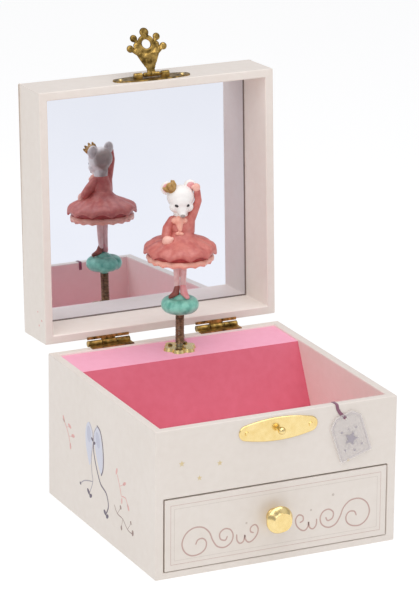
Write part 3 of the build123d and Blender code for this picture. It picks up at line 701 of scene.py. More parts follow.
taupe_ink = print_ink("taupe printing ink", "#ccaea4", "#c2a299")
pale_taupe_ink = print_ink("pale taupe printing ink", "#d3c7bd", "#cabdb2")
gold_ink = print_ink("pale gold printing ink", "#e5d3a9", "#d6bf90")
lilac_ink = print_ink("pale lilac printing ink", "#dcdce6", "#d2d3df")
shade_ink = print_ink("shaded lilac printing ink", "#cccddb", "#c2c3d2")
plum_ink = print_ink("dark plum printing ink", "#7d7180", "#5d5360")
grey_ink = print_ink("grey printing ink", "#b4acb2", "#a39ba3")
rose_ink = print_ink("rose printing ink", "#eab8b2", "#e0a49e")
brown_ink = print_ink("brown printing ink", "#a99188", "#8f776e")

# %% [markdown]
# The drawer front carries a double ruled frame and two mirrored runs of scrollwork either side of
# the knob. Above it are three small gold stars. The runs are one pen line each: a large curl, a
# smaller curl, and waves.

# %% Front prints


def front_face(x, z, height):
    return Vector((x, front_y - height, z))


scroll = [
    (-38.6, 13.6), (-37.6, 15.6), (-35.2, 15.9), (-33.6, 14.0), (-34.0, 11.2), (-36.6, 9.2),
    (-40.6, 8.9), (-43.8, 11.2), (-45.0, 15.0), (-43.4, 19.0), (-39.8, 21.3), (-35.4, 21.0),
    (-32.2, 18.2), (-30.6, 14.4), (-28.4, 11.2), (-25.0, 10.2), (-21.9, 11.9), (-20.9, 15.0),
    (-22.2, 17.8), (-25.0, 18.6), (-27.2, 16.9), (-26.9, 14.3), (-24.6, 13.4), (-23.6, 15.2),
]
waves = [
    (-19.2, 15.2), (-19.0, 12.4), (-17.6, 10.8), (-15.9, 11.6), (-15.3, 14.2), (-15.0, 12.2),
    (-13.6, 10.7), (-11.6, 11.2), (-9.6, 13.4), (-9.0, 16.2), (-10.4, 18.2), (-12.4, 17.4),
    (-12.6, 15.4), (-11.0, 14.6),
]


def mirrored(line):
    return [(-x, z + 1.0) for x, z in line]


drawer_low, drawer_high = (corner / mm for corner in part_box("drawer_front"))
for inset, width, finish in ((2.7, 0.32, taupe_ink), (4.4, 0.24, pale_taupe_ink)):
    left, right_side, low, high = (
        drawer_low.x + inset, drawer_high.x - inset, drawer_low.z + inset, drawer_high.z - inset,
    )
    corners = [(left, low), (right_side, low), (right_side, high), (left, high)]
    ink(
        f"drawer_frame_line_{round(inset * 10)}", front_face, "drawer", finish,
        lines=[(corners[i], corners[(i + 1) % 4]) for i in range(4)], width=width,
    )
runs = [scroll, waves, mirrored(scroll), mirrored(waves)]
ink("drawer_scrolls", front_face, "drawer", taupe_ink, lines=runs, width=0.62)
dots = [oval(-14.6, 19.6, 0.5, 0.5), oval(27.0, 26.0, 0.6, 0.6), oval(16.4, 20.6, 0.5, 0.5)]
ink("drawer_dots", front_face, "drawer", pale_taupe_ink, shapes=dots)
stars = [
    star(-45.3, 51.2, 1.5), star(-27.5, 48.9, 1.4), star(-37.0, 43.6, 1.3), star(34, 41.0, 1.0),
]
ink("front_stars", front_face, "base", gold_ink, shapes=stars)

# %% [markdown]
# The left side carries a loose drawing of a pair of ballet slippers on their ribbons, with small
# sprigs each side. It is flat colour with a few darker pen lines.

# %% Side prints


def left_face(y, z, height):
    return Vector((case_low.x - height, y, z))


slippers = [
    [
        (11.4, 29.4), (13.6, 33.0), (15.4, 38.0), (15.8, 43.0), (14.4, 47.4), (11.8, 49.2),
        (9.2, 47.6),
        (8.2, 43.0), (8.8, 37.0), (9.8, 32.4), (10.4, 30.4),
    ],
    [
        (-1.0, 28.8), (1.6, 31.6), (4.4, 36.5), (6.4, 42.0), (6.0, 47.0), (3.4, 49.8), (0.6, 48.6),
        (-1.6, 44.0), (-2.8, 38.0), (-2.6, 32.6), (-1.9, 30.0),
    ],
]
openings = [oval(12.0, 43.6, 3.7, 2.2, 84), oval(2.4, 43.8, 3.7, 2.2, 72)]
ribbons = [
    [(7.2, 41.6), (6.6, 36.0), (3.4, 29.6), (-0.6, 24.4), (-6.6, 22.0), (-8.8, 17.0), (-6.4, 12.6)],
    [(3.6, 50.2), (-0.2, 48.6), (-2.4, 44.0), (-3.5, 38.0), (-3.1, 32.0), (-1.0, 28.4)],
]
fine_ribbons = [
    [(3.4, 49.6), (6.4, 46.0), (7.2, 41.6), (9.4, 34.0), (9.0, 27.0), (8.0, 22.6), (11.4, 16.4)],
    [(11.6, 49.2), (8.6, 46.4), (7.2, 41.6)],
    [(8.0, 22.6), (13.0, 21.4), (17.6, 19.8), (21.6, 17.3)],
]
bows = [
    oval(12.7, 16.4, 1.7, 0.95, 35), oval(10.3, 15.2, 1.5, 0.9, -30),
    oval(-5.2, 12.8, 1.6, 0.95, 30),
    oval(-7.6, 11.8, 1.5, 0.9, -35), oval(8.4, 42.2, 1.2, 0.7, 25), oval(6.1, 41.2, 1.2, 0.7, -20),
    oval(21.6, 17.3, 0.8, 0.6, 30),
]
sprigs = [
    [(40.6, 41.4), (37.0, 38.6), (34.4, 35.2), (32.8, 31.4)], [(37.0, 38.6), (33.6, 39.8)],
    [(34.4, 35.2), (30.0, 36.4)],
    [(-18.2, 35.0), (-20.8, 30.4), (-22.6, 26.4)], [(-20.8, 30.4), (-25.4, 32.8)],
    [(-22.6, 26.4), (-27.0, 27.0), (-29.4, 24.0)],
]
leaves = [
    oval(40.0, 41.6, 1.6, 0.7, 60), oval(33.4, 40.2, 1.8, 0.8, 15),
    oval(29.6, 36.8, 1.8, 0.8, -10), oval(32.6, 31.0, 1.5, 0.7, 80),
    oval(-17.6, 36.2, 1.7, 0.7, 110), oval(-25.8, 33.2, 1.7, 0.7, 150),
    oval(-29.8, 23.6, 1.5, 0.7, 60), oval(-23.0, 24.4, 1.4, 0.6, 95),
]
twig = [
    [(-15.0, 20.0), (-18.4, 17.0), (-24.0, 16.4), (-29.0, 13.4), (-34.0, 13.0)],
    [(-18.4, 17.0), (-21.4, 20.4)],
    [(-24.0, 16.4), (-22.8, 12.6)], [(-29.0, 13.4), (-32.0, 16.8)],
]
buds = [
    oval(-21.8, 21.0, 1.0, 0.7, 60), oval(-22.6, 11.8, 1.1, 0.7, 80),
    oval(-34.4, 13.6, 1.4, 0.9, 100), oval(-32.4, 17.6, 0.9, 0.6, 70),
]
ink("side_slippers", left_face, "base", lilac_ink, shapes=slippers)
ink("side_openings", left_face, "base", shade_ink, shapes=openings, lift=0.003)
ink("side_ribbons", left_face, "base", plum_ink, lines=ribbons, width=0.75, lift=0.01)
ink("side_fine_ribbons", left_face, "base", grey_ink, lines=fine_ribbons, width=0.45, lift=0.005)
ink("side_bows", left_face, "base", plum_ink, shapes=bows, lift=0.015)
ink("side_sprigs", left_face, "base", rose_ink, lines=sprigs, shapes=leaves, width=0.45)
ink("side_twig", left_face, "base", brown_ink, lines=twig, shapes=buds, width=0.4)
lid_marks = [oval(64.5, 80.0, 0.6, 0.5), oval(67.5, 77.0, 0.5, 0.5), oval(69.0, 83.0, 0.5, 0.4)]
ink("lid_dots", left_face, "lid", rose_ink, shapes=lid_marks)

# %% [markdown]
# ## Lid top and right side prints
# The lid's top carries the same slippers inside a ruled border with a scroll in each corner, and
# the right side repeats the sprigs with a few stars. Both reuse the drawings above, moved and
# mirrored.

# %% Lid top and right side prints
lid_height, lid_middle = 25.25, -59.5


def lid_face(x, back_way, height):
    return on_lid(x / mm, back_way / mm, lid_height + height / mm)


def right_face(y, z, height):
    return Vector((case_right + height, y, z))


def moved(points, x=0.0, y=0.0, scale=1.0, flip_x=1, flip_y=1):
    return [(x + flip_x * scale * a, y + flip_y * scale * b) for a, b in points]


for inset, width, finish in ((5.0, 0.4, taupe_ink), (7.4, 0.28, pale_taupe_ink)):
    x, y = 57.5 - inset, 57.5 - inset
    corners = [(-x, lid_middle - y), (x, lid_middle - y), (x, lid_middle + y), (-x, lid_middle + y)]
    ink(
        f"lid_frame_line_{round(inset * 10)}", lid_face, "lid", finish,
        lines=[(corners[i], corners[(i + 1) % 4]) for i in range(4)], width=width,
    )
quarters = [(a, b) for a in (-1, 1) for b in (-1, 1)]
corner_scrolls = [
    moved(scroll, a * -8.0, lid_middle - b * 48.0, 0.9, a, b) for a, b in quarters
]
ink("lid_corner_scrolls", lid_face, "lid", taupe_ink, lines=corner_scrolls, width=0.6)
grow, drop = 1.5, lid_middle - 46.0
place_x = -9.0
pair = [moved(shape, place_x, drop, grow) for shape in slippers]
ink("lid_slippers", lid_face, "lid", lilac_ink, shapes=pair)
hollows = [moved(shape, place_x, drop, grow) for shape in openings]
ink("lid_openings", lid_face, "lid", shade_ink, shapes=hollows, lift=0.003)
pen = [moved(line, place_x, drop, grow) for line in ribbons]
ink("lid_ribbons", lid_face, "lid", plum_ink, lines=pen, width=0.9, lift=0.01)
thin_pen = [moved(line, place_x, drop, grow) for line in fine_ribbons]
ink("lid_fine_ribbons", lid_face, "lid", grey_ink, lines=thin_pen, width=0.6, lift=0.005)
knots = [moved(shape, place_x, drop, grow) for shape in bows]
ink("lid_bows", lid_face, "lid", plum_ink, shapes=knots, lift=0.015)
lid_stars = [
    star(x, lid_middle + y, 2.0)
    for x, y in ((-30, 22), (-22, -8), (27, 26), (33, 2), (20, -20), (-34, -2), (0, 38), (8, -32))
]
ink("lid_stars", lid_face, "lid", gold_ink, shapes=lid_stars)
right_lines = [moved(line, 4.0, 2.0) for line in sprigs]
right_shapes = [moved(shape, 4.0, 2.0) for shape in leaves]
ink(
    "right_sprigs", right_face, "base", rose_ink, lines=right_lines, shapes=right_shapes,
    width=0.45,
)
right_stars = [
    star(6.0, 40.0, 1.5), star(-4.0, 31.0, 1.3), star(12.0, 24.0, 1.4), star(-1.0, 18.0, 1.1),
]
ink("right_stars", right_face, "base", gold_ink, shapes=right_stars)

# %% [markdown]
# ## Gift tag and its ribbon
# The tag is stamped from frosted film and printed in grey with a thin border and a star. It hangs
# on a narrow satin ribbon that passes over the rim.

# %% Tag print and ribbon
tag_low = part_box("tag")[0]
hang = Vector((31.5, 61.0))
lean = math.radians(18)
down, across = Vector((math.sin(lean), -math.cos(lean))), Vector((math.cos(lean), math.sin(lean)))
tag_front = tag_low.y


def tag_face(a, b, height):
    spot = hang * mm + across * a + down * b
    return Vector((spot.x, tag_front - height, spot.y))


border = [(-6.9, 2.6), (-6.9, 18.7), (6.9, 18.7), (6.9, 2.6), (4.0, -0.4), (-4.0, -0.4)]
ink(
    "tag_border", tag_face, "tag", grey_ink,
    lines=[(border[i], border[(i + 1) % 6]) for i in range(6)], width=0.3,
)
sparks = [
    oval(-3.4, 6.0, 0.45, 0.45), oval(3.6, 6.6, 0.4, 0.4), oval(0.0, 16.4, 0.45, 0.45),
    oval(-4.2, 14.6, 0.4, 0.4), oval(4.0, 15.0, 0.45, 0.45),
]
rays = [[(0.0, 5.0), (0.3, 7.4)], [(-2.6, 14.6), (-1.6, 13.0)], [(2.4, 14.8), (1.8, 13.0)]]
ink(
    "tag_star", tag_face, "tag", grey_ink, lines=rays, shapes=[star(0, 10.6, 3.4, 0.45), *sparks],
    width=0.35,
)


def strip(name, path, width, thick, finish):
    """A flat band with a rounded section, swept along a path. Each path entry is a point, a
    direction across the band, and the band's outward side."""
    mesh = bmesh.new()
    rings = []
    for point, side, out in path:
        point, side, out = Vector(point) * mm, Vector(side).normalized(), Vector(out).normalized()
        ring = []
        for k in range(12):
            angle = 2 * math.pi * k / 12
            ring.append(
                mesh.verts.new(
                    point + side * (width / 2 * mm * math.cos(angle)) + out * (
                        thick / 2 * mm * math.sin(angle)
                    )
                )
            )
        rings.append(ring)
    for low, high in zip(rings, rings[1:]):
        for k in range(12):
            mesh.faces.new((low[k], low[(k + 1) % 12], high[(k + 1) % 12], high[k]))
    mesh.faces.new(rings[0][::-1])
    mesh.faces.new(rings[-1])
    bmesh.ops.recalc_face_normals(mesh, faces=mesh.faces)
    for f in mesh.faces:
        f.smooth = True
    made = bpy.data.meshes.new(name)
    mesh.to_mesh(made)
    mesh.free()
    return made


ribbon_low, ribbon_high = (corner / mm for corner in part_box("tag_ribbon"))
print("ribbon box", [round(v, 2) for v in (*ribbon_low, *ribbon_high)])
rim_out, rim_in = front_y / mm, -53.6
band = 0.17
path = [
    ((28, rim_in + band, 63.2), (1, 0, 0), (0, 1, 0)),
    ((28, rim_in + band, 66.3), (1, 0, 0), (0, 1, 0)),
    ((28, rim_in + 0.1, 66.95), (1, 0, 0), (0, 1, 1)),
    ((28, rim_in - 0.5, 67.16), (1, 0, 0), (0, 0, 1)),
    ((28, rim_out + 0.5, 67.16), (1, 0, 0), (0, 0, 1)),
    ((28, rim_out - 0.1, 66.95), (1, 0, 0), (0, -1, 1)),
    ((28.1, rim_out - band, 66.3), (1, 0, 0.1), (0, -1, 0)),
    ((28.4, rim_out - band, 64.9), (1, 0, 0.35), (0, -1, 0)),
    ((29.4, rim_out - 0.25, 63.2), (1, 0, 0.7), (0, -1, 0)),
    ((30.6, rim_out - 0.4, 61.9), (1, 0, 0.9), (0, -1, 0.1)),
    ((31.4, rim_out - 0.8, 61.1), (1, 0, 0.8), (0, -1, 0.5)),
    ((31.7, rim_out - 1.25, 60.7), (1, 0, 0.7), (0, -0.6, 1)),
]
tag_loop = add_piece(
    "tag_ribbon_loop", strip("tag_ribbon_loop", path, 1.5, 0.3, satin_ribbon), satin_ribbon,
    None, replaces=("tag_ribbon",),
)
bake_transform(tag_loop)

# %% [markdown]
# ## Sculpted castings
# The crown-shaped hasp and the dancer are small castings with soft, melted-together forms. Simple
# solids are placed where each mass sits, a voxel remesh fuses them into one skin, and a few rounds
# of smoothing soften the joins, the way a mould and a coat of paint do.

# %% Blob sculpting


def ball(mesh, centre, radii, turn=(0, 0, 0)):
    """An ellipsoid in mm, turned by XYZ degrees."""
    rotation = Matrix.Rotation(math.radians(turn[2]), 4, "Z")
    rotation = rotation @ Matrix.Rotation(math.radians(turn[1]), 4, "Y")
    rotation = rotation @ Matrix.Rotation(math.radians(turn[0]), 4, "X")
    if isinstance(radii, (int, float)):
        radii = (radii,) * 3
    shape = Matrix.Translation(centre) @ rotation @ Matrix.Diagonal((*radii, 1))
    bmesh.ops.create_icosphere(mesh, subdivisions=3, radius=1, matrix=shape)


def limb(mesh, start, end, start_radius, end_radius):
    """A tapered limb with ball ends, in mm."""
    start, end = Vector(start), Vector(end)
    axis = end - start
    lie = axis.to_track_quat("Z", "Y").to_matrix().to_4x4()
    shape = Matrix.Translation((start + end) / 2) @ lie
    bmesh.ops.create_cone(
        mesh, cap_ends=True, segments=24, radius1=start_radius, radius2=end_radius,
        depth=axis.length, matrix=shape,
    )
    ball(mesh, start, start_radius)
    ball(mesh, end, end_radius)


def sculpted(name, build, to_world, finish, body, replaces=(), voxel=0.22, rounds=6):
    """Fuses what build(mesh) adds, in mm, into one smooth skin at its place in the world."""
    mesh = bmesh.new()
    build(mesh)
    rough = bpy.data.meshes.new(name)
    mesh.to_mesh(rough)
    mesh.free()
    made = bpy.data.objects.new(name, rough)
    scene.collection.objects.link(made)
    fuse = made.modifiers.new("fuse", "REMESH")
    fuse.mode, fuse.voxel_size, fuse.use_smooth_shade = "VOXEL", voxel, True
    soften = made.modifiers.new("soften", "SMOOTH")
    soften.factor, soften.iterations = 0.5, rounds
    baked(made)
    made.data.transform(to_world @ Matrix.Diagonal((mm, mm, mm, 1)))
    made.data.materials.clear()
    made.data.materials.append(finish)
    if replaces:
        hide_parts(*replaces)
    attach(made, body)
    return made


# %% [markdown]
# ## The crown hasp
# A cast crown swings on a pin in the lid's front. Its lobes end in small beads, and the round eye
# in the middle drops over the catch's ball when the box is shut.

# %% Hasp casting
pivot = Vector(joints["hasp_hinge"]["pos_m"])
hasp_corners = [v.co for v in nodes["hasp"].data.vertices]
reach = max(hasp_corners, key=lambda co: (co - pivot).length) - pivot
hasp_up = Vector((0, reach.y, reach.z)).normalized()
hasp_out = Vector((1, 0, 0)).cross(hasp_up)
offsets = [(co - pivot).dot(hasp_out) for co in hasp_corners if (co - pivot).dot(hasp_up) > 6 * mm]
hasp_mid = (min(offsets) + max(offsets)) / 2
to_hasp = Matrix.Translation(pivot + hasp_out * hasp_mid) @ Matrix(
    ((1, 0, 0), tuple(hasp_up), tuple(hasp_out))
).transposed().to_4x4()
print("hasp up", [round(v, 3) for v in hasp_up], "plate offset mm", round(hasp_mid / mm, 2))


# Half thicknesses in mm: the side towards the box stays thin, to pass over its plate.
thin_stem, thin_lobes, show_side, stem_top = 0.45, 0.85, 1.1, 7


def crown(mesh):
    for side in (-1, 1):
        limb(mesh, (side * 2.6, 5.6, 0), (side * 5.6, 11.4, 0), 0.95, 0.85)
        limb(mesh, (side * 4.6, 9.4, 0), (side * 7.4, 11.6, 0), 0.8, 0.7)
        limb(mesh, (side * 3.4, 12.6, 0), (side * 5.0, 16.2, 0), 0.9, 0.8)
        ball(mesh, (side * 8.1, 12.3, 0), (1.75, 1.75, 1.0))
        ball(mesh, (side * 5.6, 16.9, 0), (1.75, 1.75, 1.0))
        ball(mesh, (side * 2.2, 7.2, 0.2), (1.2, 2.6, 0.7), (0, 0, side * -24))
    for k in range(20):
        angle = math.pi * (1 + k / 19)
        ball(mesh, (5.0 * math.cos(angle), 13.6 + 5.0 * math.sin(angle), 0), (1.35, 1.35, 0.8))
    limb(mesh, (0, 0.8, 0), (0, 7.4, 0), 1.9, 1.7)
    for side in (-1, 1):
        limb(mesh, (side * 1.6, 4.4, 0), (side * 3.4, 9.0, 0), 1.2, 1.3)
    ball(mesh, (0, 19.3, 0), (2.2, 2.2, 1.2))
    ball(mesh, (0, 7.9, 0.2), (3.0, 1.5, 1.0))
    for k in range(28):
        angle = 2 * math.pi * k / 28
        ball(mesh, (3.2 * math.cos(angle), 13.9 + 3.2 * math.sin(angle), 0), (1.15, 1.15, 1.0))
    ball(mesh, (0, 3.2, 0.3), (2.4, 1.3, 1.0))
    for corner in mesh.verts:
        towards_box = thin_stem if corner.co.y < stem_top else thin_lobes
        corner.co.z = max(-show_side, min(towards_box, corner.co.z))
    for x in (-3.4, 3.4):
        limb(mesh, (x * 0.2, 0, 0), (x, 0, 0), 1.0, 1.0)


sculpted(
    "crown_hasp", crown, to_hasp, antique_brass, "hasp", ("hasp",), voxel=0.16, rounds=3
)

# %% [markdown]
# ## The spring under the dancer
# A close coil of dark spring wire carries the dancer and lets it fold flat when the lid shuts. It
# is swept as one helix of round wire.

# %% Spring coil
spring_low, spring_high = (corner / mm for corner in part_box("dancer_spring"))
spindle = Vector(((spring_low.x + spring_high.x) / 2, (spring_low.y + spring_high.y) / 2, 0))
wire, coil_radius = 0.34, (spring_high.x - spring_low.x) / 2 - 0.34
turns = (spring_high.z - spring_low.z - 2 * wire) / (2 * wire * 1.12)
steps = int(turns * 20)
coil = bmesh.new()
rings = []
for i in range(steps + 1):
    part = i / steps
    angle = 2 * math.pi * turns * part
    out = Vector((math.cos(angle), math.sin(angle), 0))
    centre = spindle + out * coil_radius
    centre.z = spring_low.z + wire + part * (spring_high.z - spring_low.z - 2 * wire)
    rings.append([
        coil.verts.new(
            (centre + out * wire * math.cos(a) + Vector((0, 0, wire * math.sin(a)))) * mm
        )
        for a in (2 * math.pi * k / 8 for k in range(8))
    ])
for low, high in zip(rings, rings[1:]):
    for k in range(8):
        coil.faces.new((low[k], low[(k + 1) % 8], high[(k + 1) % 8], high[k])).smooth = True
coil.faces.new(rings[0][::-1])
coil.faces.new(rings[-1])
bmesh.ops.recalc_face_normals(coil, faces=coil.faces)
coil_mesh = bpy.data.meshes.new("spring_coil")
coil.to_mesh(coil_mesh)
coil.free()
spring_coil = add_piece(
    "spring_coil", coil_mesh, spring_steel, None, replaces=("dancer_spring",)
)
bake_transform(spring_coil)
print("coil turns", round(turns, 1), "wire", 2 * wire, "mm")

# %% [markdown]
# ## The dancer
# A little mouse in a tutu, cast in resin and painted by hand. All of it is placed in the dancer's
# own directions: across, forward and up, in mm from the spindle. The skirts are lathed rings whose
# hem waves in and out, and the rest is sculpted from blobs.

# %% The dancer's directions
facing = math.radians(-20)
to_dancer = Matrix.Translation(spindle * mm) @ Matrix(
    (
        (math.cos(facing), math.sin(facing), 0),
        (math.sin(facing), -math.cos(facing), 0),
        (0, 0, 1),
    )
).transposed().to_4x4()


def dancer_part(name, build, finish, replaces=(), voxel=0.22, rounds=5):
    return sculpted(name, build, to_dancer, finish, "dancer", replaces, voxel, rounds)


# %% [markdown]
# Each skirt layer is one closed ring: down the outside from the waist, round the hem, and back
# underneath. The hem rises in soft arches that fade towards the waist. The faces under the hem
# take a second colour; under the overskirt it is a darker coral, painted shade where the hem lifts.

# %% Skirts


def skirt(
    name, profile, arches, lift, flare, phase, finish, under_colour_and_shade, replaces, under_from,
):
    """A ruffled ring. profile rows are (radius, height, share of the ruffle) in mm."""
    mesh = bmesh.new()
    around = 144
    rows = []
    for radius, height, share in profile:
        row = []
        for k in range(around):
            angle = 2 * math.pi * k / around
            arch = abs(math.cos(arches * angle / 2 + phase))
            slow = 0.4 * math.cos(3 * angle + 1.0 + phase)
            r = radius * (1 + flare * share * (0.8 - 1.6 * arch + slow))
            z = height + lift * share * (arch - 0.55 + 0.25 * slow)
            row.append(mesh.verts.new((r * math.cos(angle), r * math.sin(angle), z)))
        rows.append(row)
    faces = []
    for level, (low, high) in enumerate(zip(rows, rows[1:])):
        for k in range(around):
            face = mesh.faces.new((low[k], low[(k + 1) % around], high[(k + 1) % around], high[k]))
            # Rows from under_from on take the second colour; under the overskirt that colour is
            # painted shade.
            face.material_index = 1 if level >= under_from else 0
            face.smooth = True
            faces.append(face)
    mesh.faces.new(rows[0][::-1])
    mesh.faces.new(rows[-1]).material_index = 1
    bmesh.ops.recalc_face_normals(mesh, faces=mesh.faces)
    made = bpy.data.meshes.new(name)
    mesh.to_mesh(made)
    mesh.free()
    made.transform(to_dancer @ Matrix.Diagonal((mm, mm, mm, 1)))
    made.materials.append(finish)
    made.materials.append(under_colour_and_shade)
    return add_piece(name, made, None, "dancer", replaces)


skirt(
    "dancer_overskirt_ruffle",
    [
        (4.6, 122.4, 0), (5.2, 121.2, 0), (5.9, 120.1, 0.04), (7.1, 119.0, 0.12),
        (8.9, 118.0, 0.22),
        (11.2, 117.0, 0.35), (13.6, 115.9, 0.55), (15.4, 114.7, 0.8), (16.3, 113.5, 0.95),
        (16.4, 112.6, 1.0), (16.1, 112.0, 1.0), (15.6, 112.0, 1.0), (15.2, 112.5, 0.8),
        (15.0, 112.6, 0.3), (14.7, 111.8, 0), (14.5, 110.6, 0), (12.0, 110.8, 0), (4.0, 112.0, 0),
    ],
    11, 1.7, 0.02, 0.3, coral_paint, painted_shade_coral, ("dancer_overskirt",), 11,
)
skirt(
    "dancer_underskirt_ruffle",
    [
        (9.0, 111.4, 0), (13.4, 111.2, 0.1), (14.6, 110.6, 0.5), (15.1, 109.8, 0.9),
        (15.1, 108.9, 1.0), (14.6, 108.0, 1.0), (13.2, 107.7, 0.8), (10.0, 108.2, 0.3),
        (3.0, 108.6, 0),
    ],
    18, 0.6, 0.01, 0.4, peach_paint, pink_paint, ("dancer_underskirt",), 6,
)

# %% [markdown]
# The figure stands on a cushion-shaped base with one shallow furrow, on two short legs with
# slippers turned out. One arm curves overhead, and the other rests on the skirt.

# %% Base, legs, body and arms


def cushion(mesh):
    limb(mesh, (0, 0, 86.0), (0, 0, 88.2), 4.2, 4.2)
    for k in range(26):
        angle = 2 * math.pi * k / 26
        dip = 0.45 if k in (20, 21) else 0.0
        reach = 5.05 - dip
        low = 87.0 - dip * 0.6
        ball(mesh, (reach * math.cos(angle), reach * math.sin(angle), low), (3.5, 3.5, 3.45 - dip))
    ball(mesh, (0, 0, 87.0), (6.5, 6.5, 3.6))


dancer_part(
    "dancer_base", cushion, teal_paint, ("dancer_pedestal",), voxel=0.3, rounds=4,
)


def left_slipper(mesh):
    limb(mesh, (-1.3, 0.3, 95.2), (-1.9, 0.9, 92.9), 1.3, 1.5)
    limb(mesh, (-1.9, 0.9, 92.6), (-4.6, 2.2, 91.3), 1.5, 0.9)


def right_slipper(mesh):
    limb(mesh, (1.4, 0.3, 95.4), (1.7, 1.0, 92.9), 1.4, 1.7)
    limb(mesh, (1.7, 1.0, 92.7), (3.0, 3.6, 91.4), 1.7, 1.1)


dancer_part(
    "dancer_left_slipper", left_slipper, russet_paint, ("dancer_slippers",),
)
dancer_part("dancer_right_slipper", right_slipper, pink_paint)


def legs(mesh):
    for side in (-1, 1):
        limb(mesh, (side * 1.45, 0, 95.0), (side * 1.5, 0.2, 100.2), 1.15, 1.35)
        limb(mesh, (side * 1.5, 0.2, 100.2), (side * 1.7, 0, 109.0), 1.35, 1.6)


dancer_part("dancer_two_legs", legs, skin_pink, ("dancer_legs",))


def bodice(mesh):
    limb(mesh, (0.2, 0, 119.6), (0.2, 0, 123.0), 5.2, 4.9)
    limb(mesh, (0.2, 0, 123.0), (0.2, 0, 126.6), 4.8, 3.9)
    ball(mesh, (0, 1.2, 123.0), (4.6, 4.0, 3.8))
    limb(mesh, (3.4, 0, 121.4), (4.4, 0, 127.6), 3.1, 2.3)


dancer_part("dancer_bodice_top", bodice, coral_paint, ("dancer_bodice",))


def collar(mesh):
    limb(mesh, (-0.9, 3.4, 127.0), (-0.5, 4.9, 123.2), 2.2, 0.9)
    ball(mesh, (-2.6, 3.0, 127.0), (1.7, 1.7, 1.5))
    ball(mesh, (1.3, 3.2, 127.0), (1.6, 1.6, 1.4))
    ball(mesh, (-1.6, 5.2, 121.6), (1.1, 0.7, 0.9))
    ball(mesh, (0.2, 5.2, 121.4), (1.0, 0.7, 0.8))


dancer_part("dancer_collar", collar, peach_paint)


def sleeves(mesh):
    limb(mesh, (-3.6, 0.4, 126.4), (-5.9, 1.8, 123.2), 2.1, 2.2)
    limb(mesh, (-5.9, 1.8, 123.2), (-6.5, 3.8, 120.2), 2.2, 2.3)
    limb(mesh, (4.6, 0, 127.0), (6.4, 0.2, 131.2), 2.3, 1.9)
    limb(mesh, (6.4, 0.2, 131.2), (7.9, 0.3, 135.2), 1.9, 1.6)
    limb(mesh, (7.9, 0.3, 135.2), (7.4, 0.3, 139.6), 1.6, 1.5)


dancer_part("dancer_sleeves", sleeves, coral_paint, ("dancer_arms",))


def hands(mesh):
    ball(mesh, (-6.2, 6.2, 118.6), (2.5, 2.0, 2.4))
    ball(mesh, (-4.4, 6.6, 119.6), 1.0)
    ball(mesh, (7.0, 0.6, 141.4), (1.8, 1.5, 2.0))
    ball(mesh, (5.6, 0.9, 141.8), 0.9)


dancer_part("dancer_hands", hands, hand_paint)

# %% [markdown]
# The head is a soft cone: a round skull, a tapering muzzle, two round ears, and a small gilt
# crown set to one side. Head and ears are white at the face and a warm grey towards the back,
# with a ragged edge between them, so that finish mixes two colours by position.

# %% Head


def head(mesh):
    ball(mesh, (0.1, -0.4, 137.0), (6.2, 5.3, 5.5))
    limb(mesh, (0.2, 0.4, 135.4), (0.6, 4.6, 130.4), 5.2, 1.7)
    limb(mesh, (0.2, 0, 126.6), (0.2, 0, 132.0), 3.0, 3.6)
    ball(mesh, (-2.4, 1.8, 133.0), (2.7, 2.4, 2.5))
    ball(mesh, (3.0, 1.8, 133.0), (2.7, 2.4, 2.5))


def ears(mesh):
    ball(mesh, (-5.6, -1.4, 140.8), (3.2, 1.2, 3.2), (0, -35, 0))
    ball(mesh, (4.4, -1.6, 141.6), (3.0, 1.2, 3.0), (0, 25, 0))


def inner_ears(mesh):
    ball(mesh, (-5.8, -0.7, 141.0), (2.2, 0.8, 2.2), (0, -35, 0))
    ball(mesh, (4.6, -0.9, 141.8), (2.0, 0.8, 2.0), (0, 25, 0))


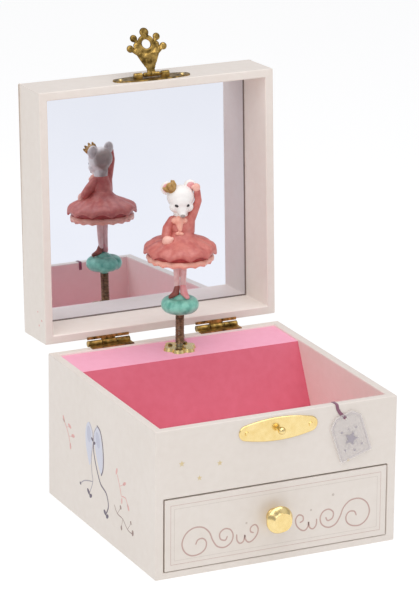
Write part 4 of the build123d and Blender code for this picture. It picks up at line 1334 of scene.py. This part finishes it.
# Colour runs from white at the front of the head to grey at the back, with a ragged edge.
head_white_to_grey, tree, surface = material(
    "white face to grey back on resin", Roughness=0.45, Coat_Weight=0.15,
)
place = node(tree, "ShaderNodeTexCoord").outputs["Object"]
split = node(tree, "ShaderNodeSeparateXYZ", {"Vector": place})
forward = node(
    tree, "ShaderNodeMath", {0: split.outputs["X"], 1: math.sin(facing)}, operation="MULTIPLY"
)
toward = node(
    tree, "ShaderNodeMath", {0: split.outputs["Y"], 1: -math.cos(facing)}, operation="MULTIPLY"
)
depth = node(tree, "ShaderNodeMath", {0: forward.outputs[0], 1: toward.outputs[0]}, operation="ADD")
brush = node(tree, "ShaderNodeTexNoise", {"Vector": place, "Scale": 400.0, "Detail": 4.0})
ragged = node(
    tree, "ShaderNodeMath", {0: brush.outputs["Fac"], 1: 2.2 * mm, 2: depth.outputs[0]},
    operation="MULTIPLY_ADD",
)
axis_depth = -spindle.y * mm * math.cos(facing)
edge = node(
    tree, "ShaderNodeMapRange",
    {
        "Value": ragged.outputs[0], "From Min": axis_depth - 2.4 * mm,
        "From Max": axis_depth - 0.6 * mm,
    },
)
fur = node(
    tree, "ShaderNodeMix",
    {"Factor": edge.outputs["Result"], "A": linear("#a3948c"), "B": linear("#f4f0ec")},
    data_type="RGBA",
)
dab = node(
    tree, "ShaderNodeBump",
    {"Height": brush.outputs["Fac"], "Strength": 0.25, "Distance": 0.12 * mm},
)
tree.links.new(fur.outputs["Result"], surface.inputs["Base Color"])
tree.links.new(dab.outputs["Normal"], surface.inputs["Normal"])

dancer_part("dancer_mouse_head", head, head_white_to_grey, ("dancer_head",))
dancer_part("dancer_ears", ears, head_white_to_grey, rounds=3)
dancer_part("dancer_inner_ears", inner_ears, pink_paint, rounds=3)


def nose(mesh):
    ball(mesh, (0.6, 6.1, 129.9), (1.1, 0.8, 0.8))


def eyes(mesh):
    ball(mesh, (-1.9, 4.55, 134.3), (1.05, 0.8, 0.8), (0, 10, 0))
    ball(mesh, (2.9, 4.35, 134.3), (0.85, 0.8, 0.7), (0, -10, 0))


def small_crown(mesh):
    for k in range(8):
        angle = 2 * math.pi * k / 8
        spot = Vector((1.75 * math.cos(angle), 1.75 * math.sin(angle), 0))
        limb(mesh, spot, spot * 1.3 + Vector((0, 0, 1.5)), 0.75, 0.45)
    limb(mesh, (0, 0, -0.6), (0, 0, 0.3), 1.8, 1.8)
    tilt = Matrix.Translation((-4.4, 1.0, 141.6)) @ Matrix.Rotation(math.radians(-36), 4, "Y")
    tilt = tilt @ Matrix.Scale(1.2, 4)
    mesh.transform(tilt)


dancer_part("dancer_nose", nose, grey_paint, voxel=0.12, rounds=2)
dancer_part("dancer_eyes", eyes, black_paint, voxel=0.12, rounds=2)
dancer_part("dancer_crown", small_crown, ochre_paint, voxel=0.16, rounds=2)
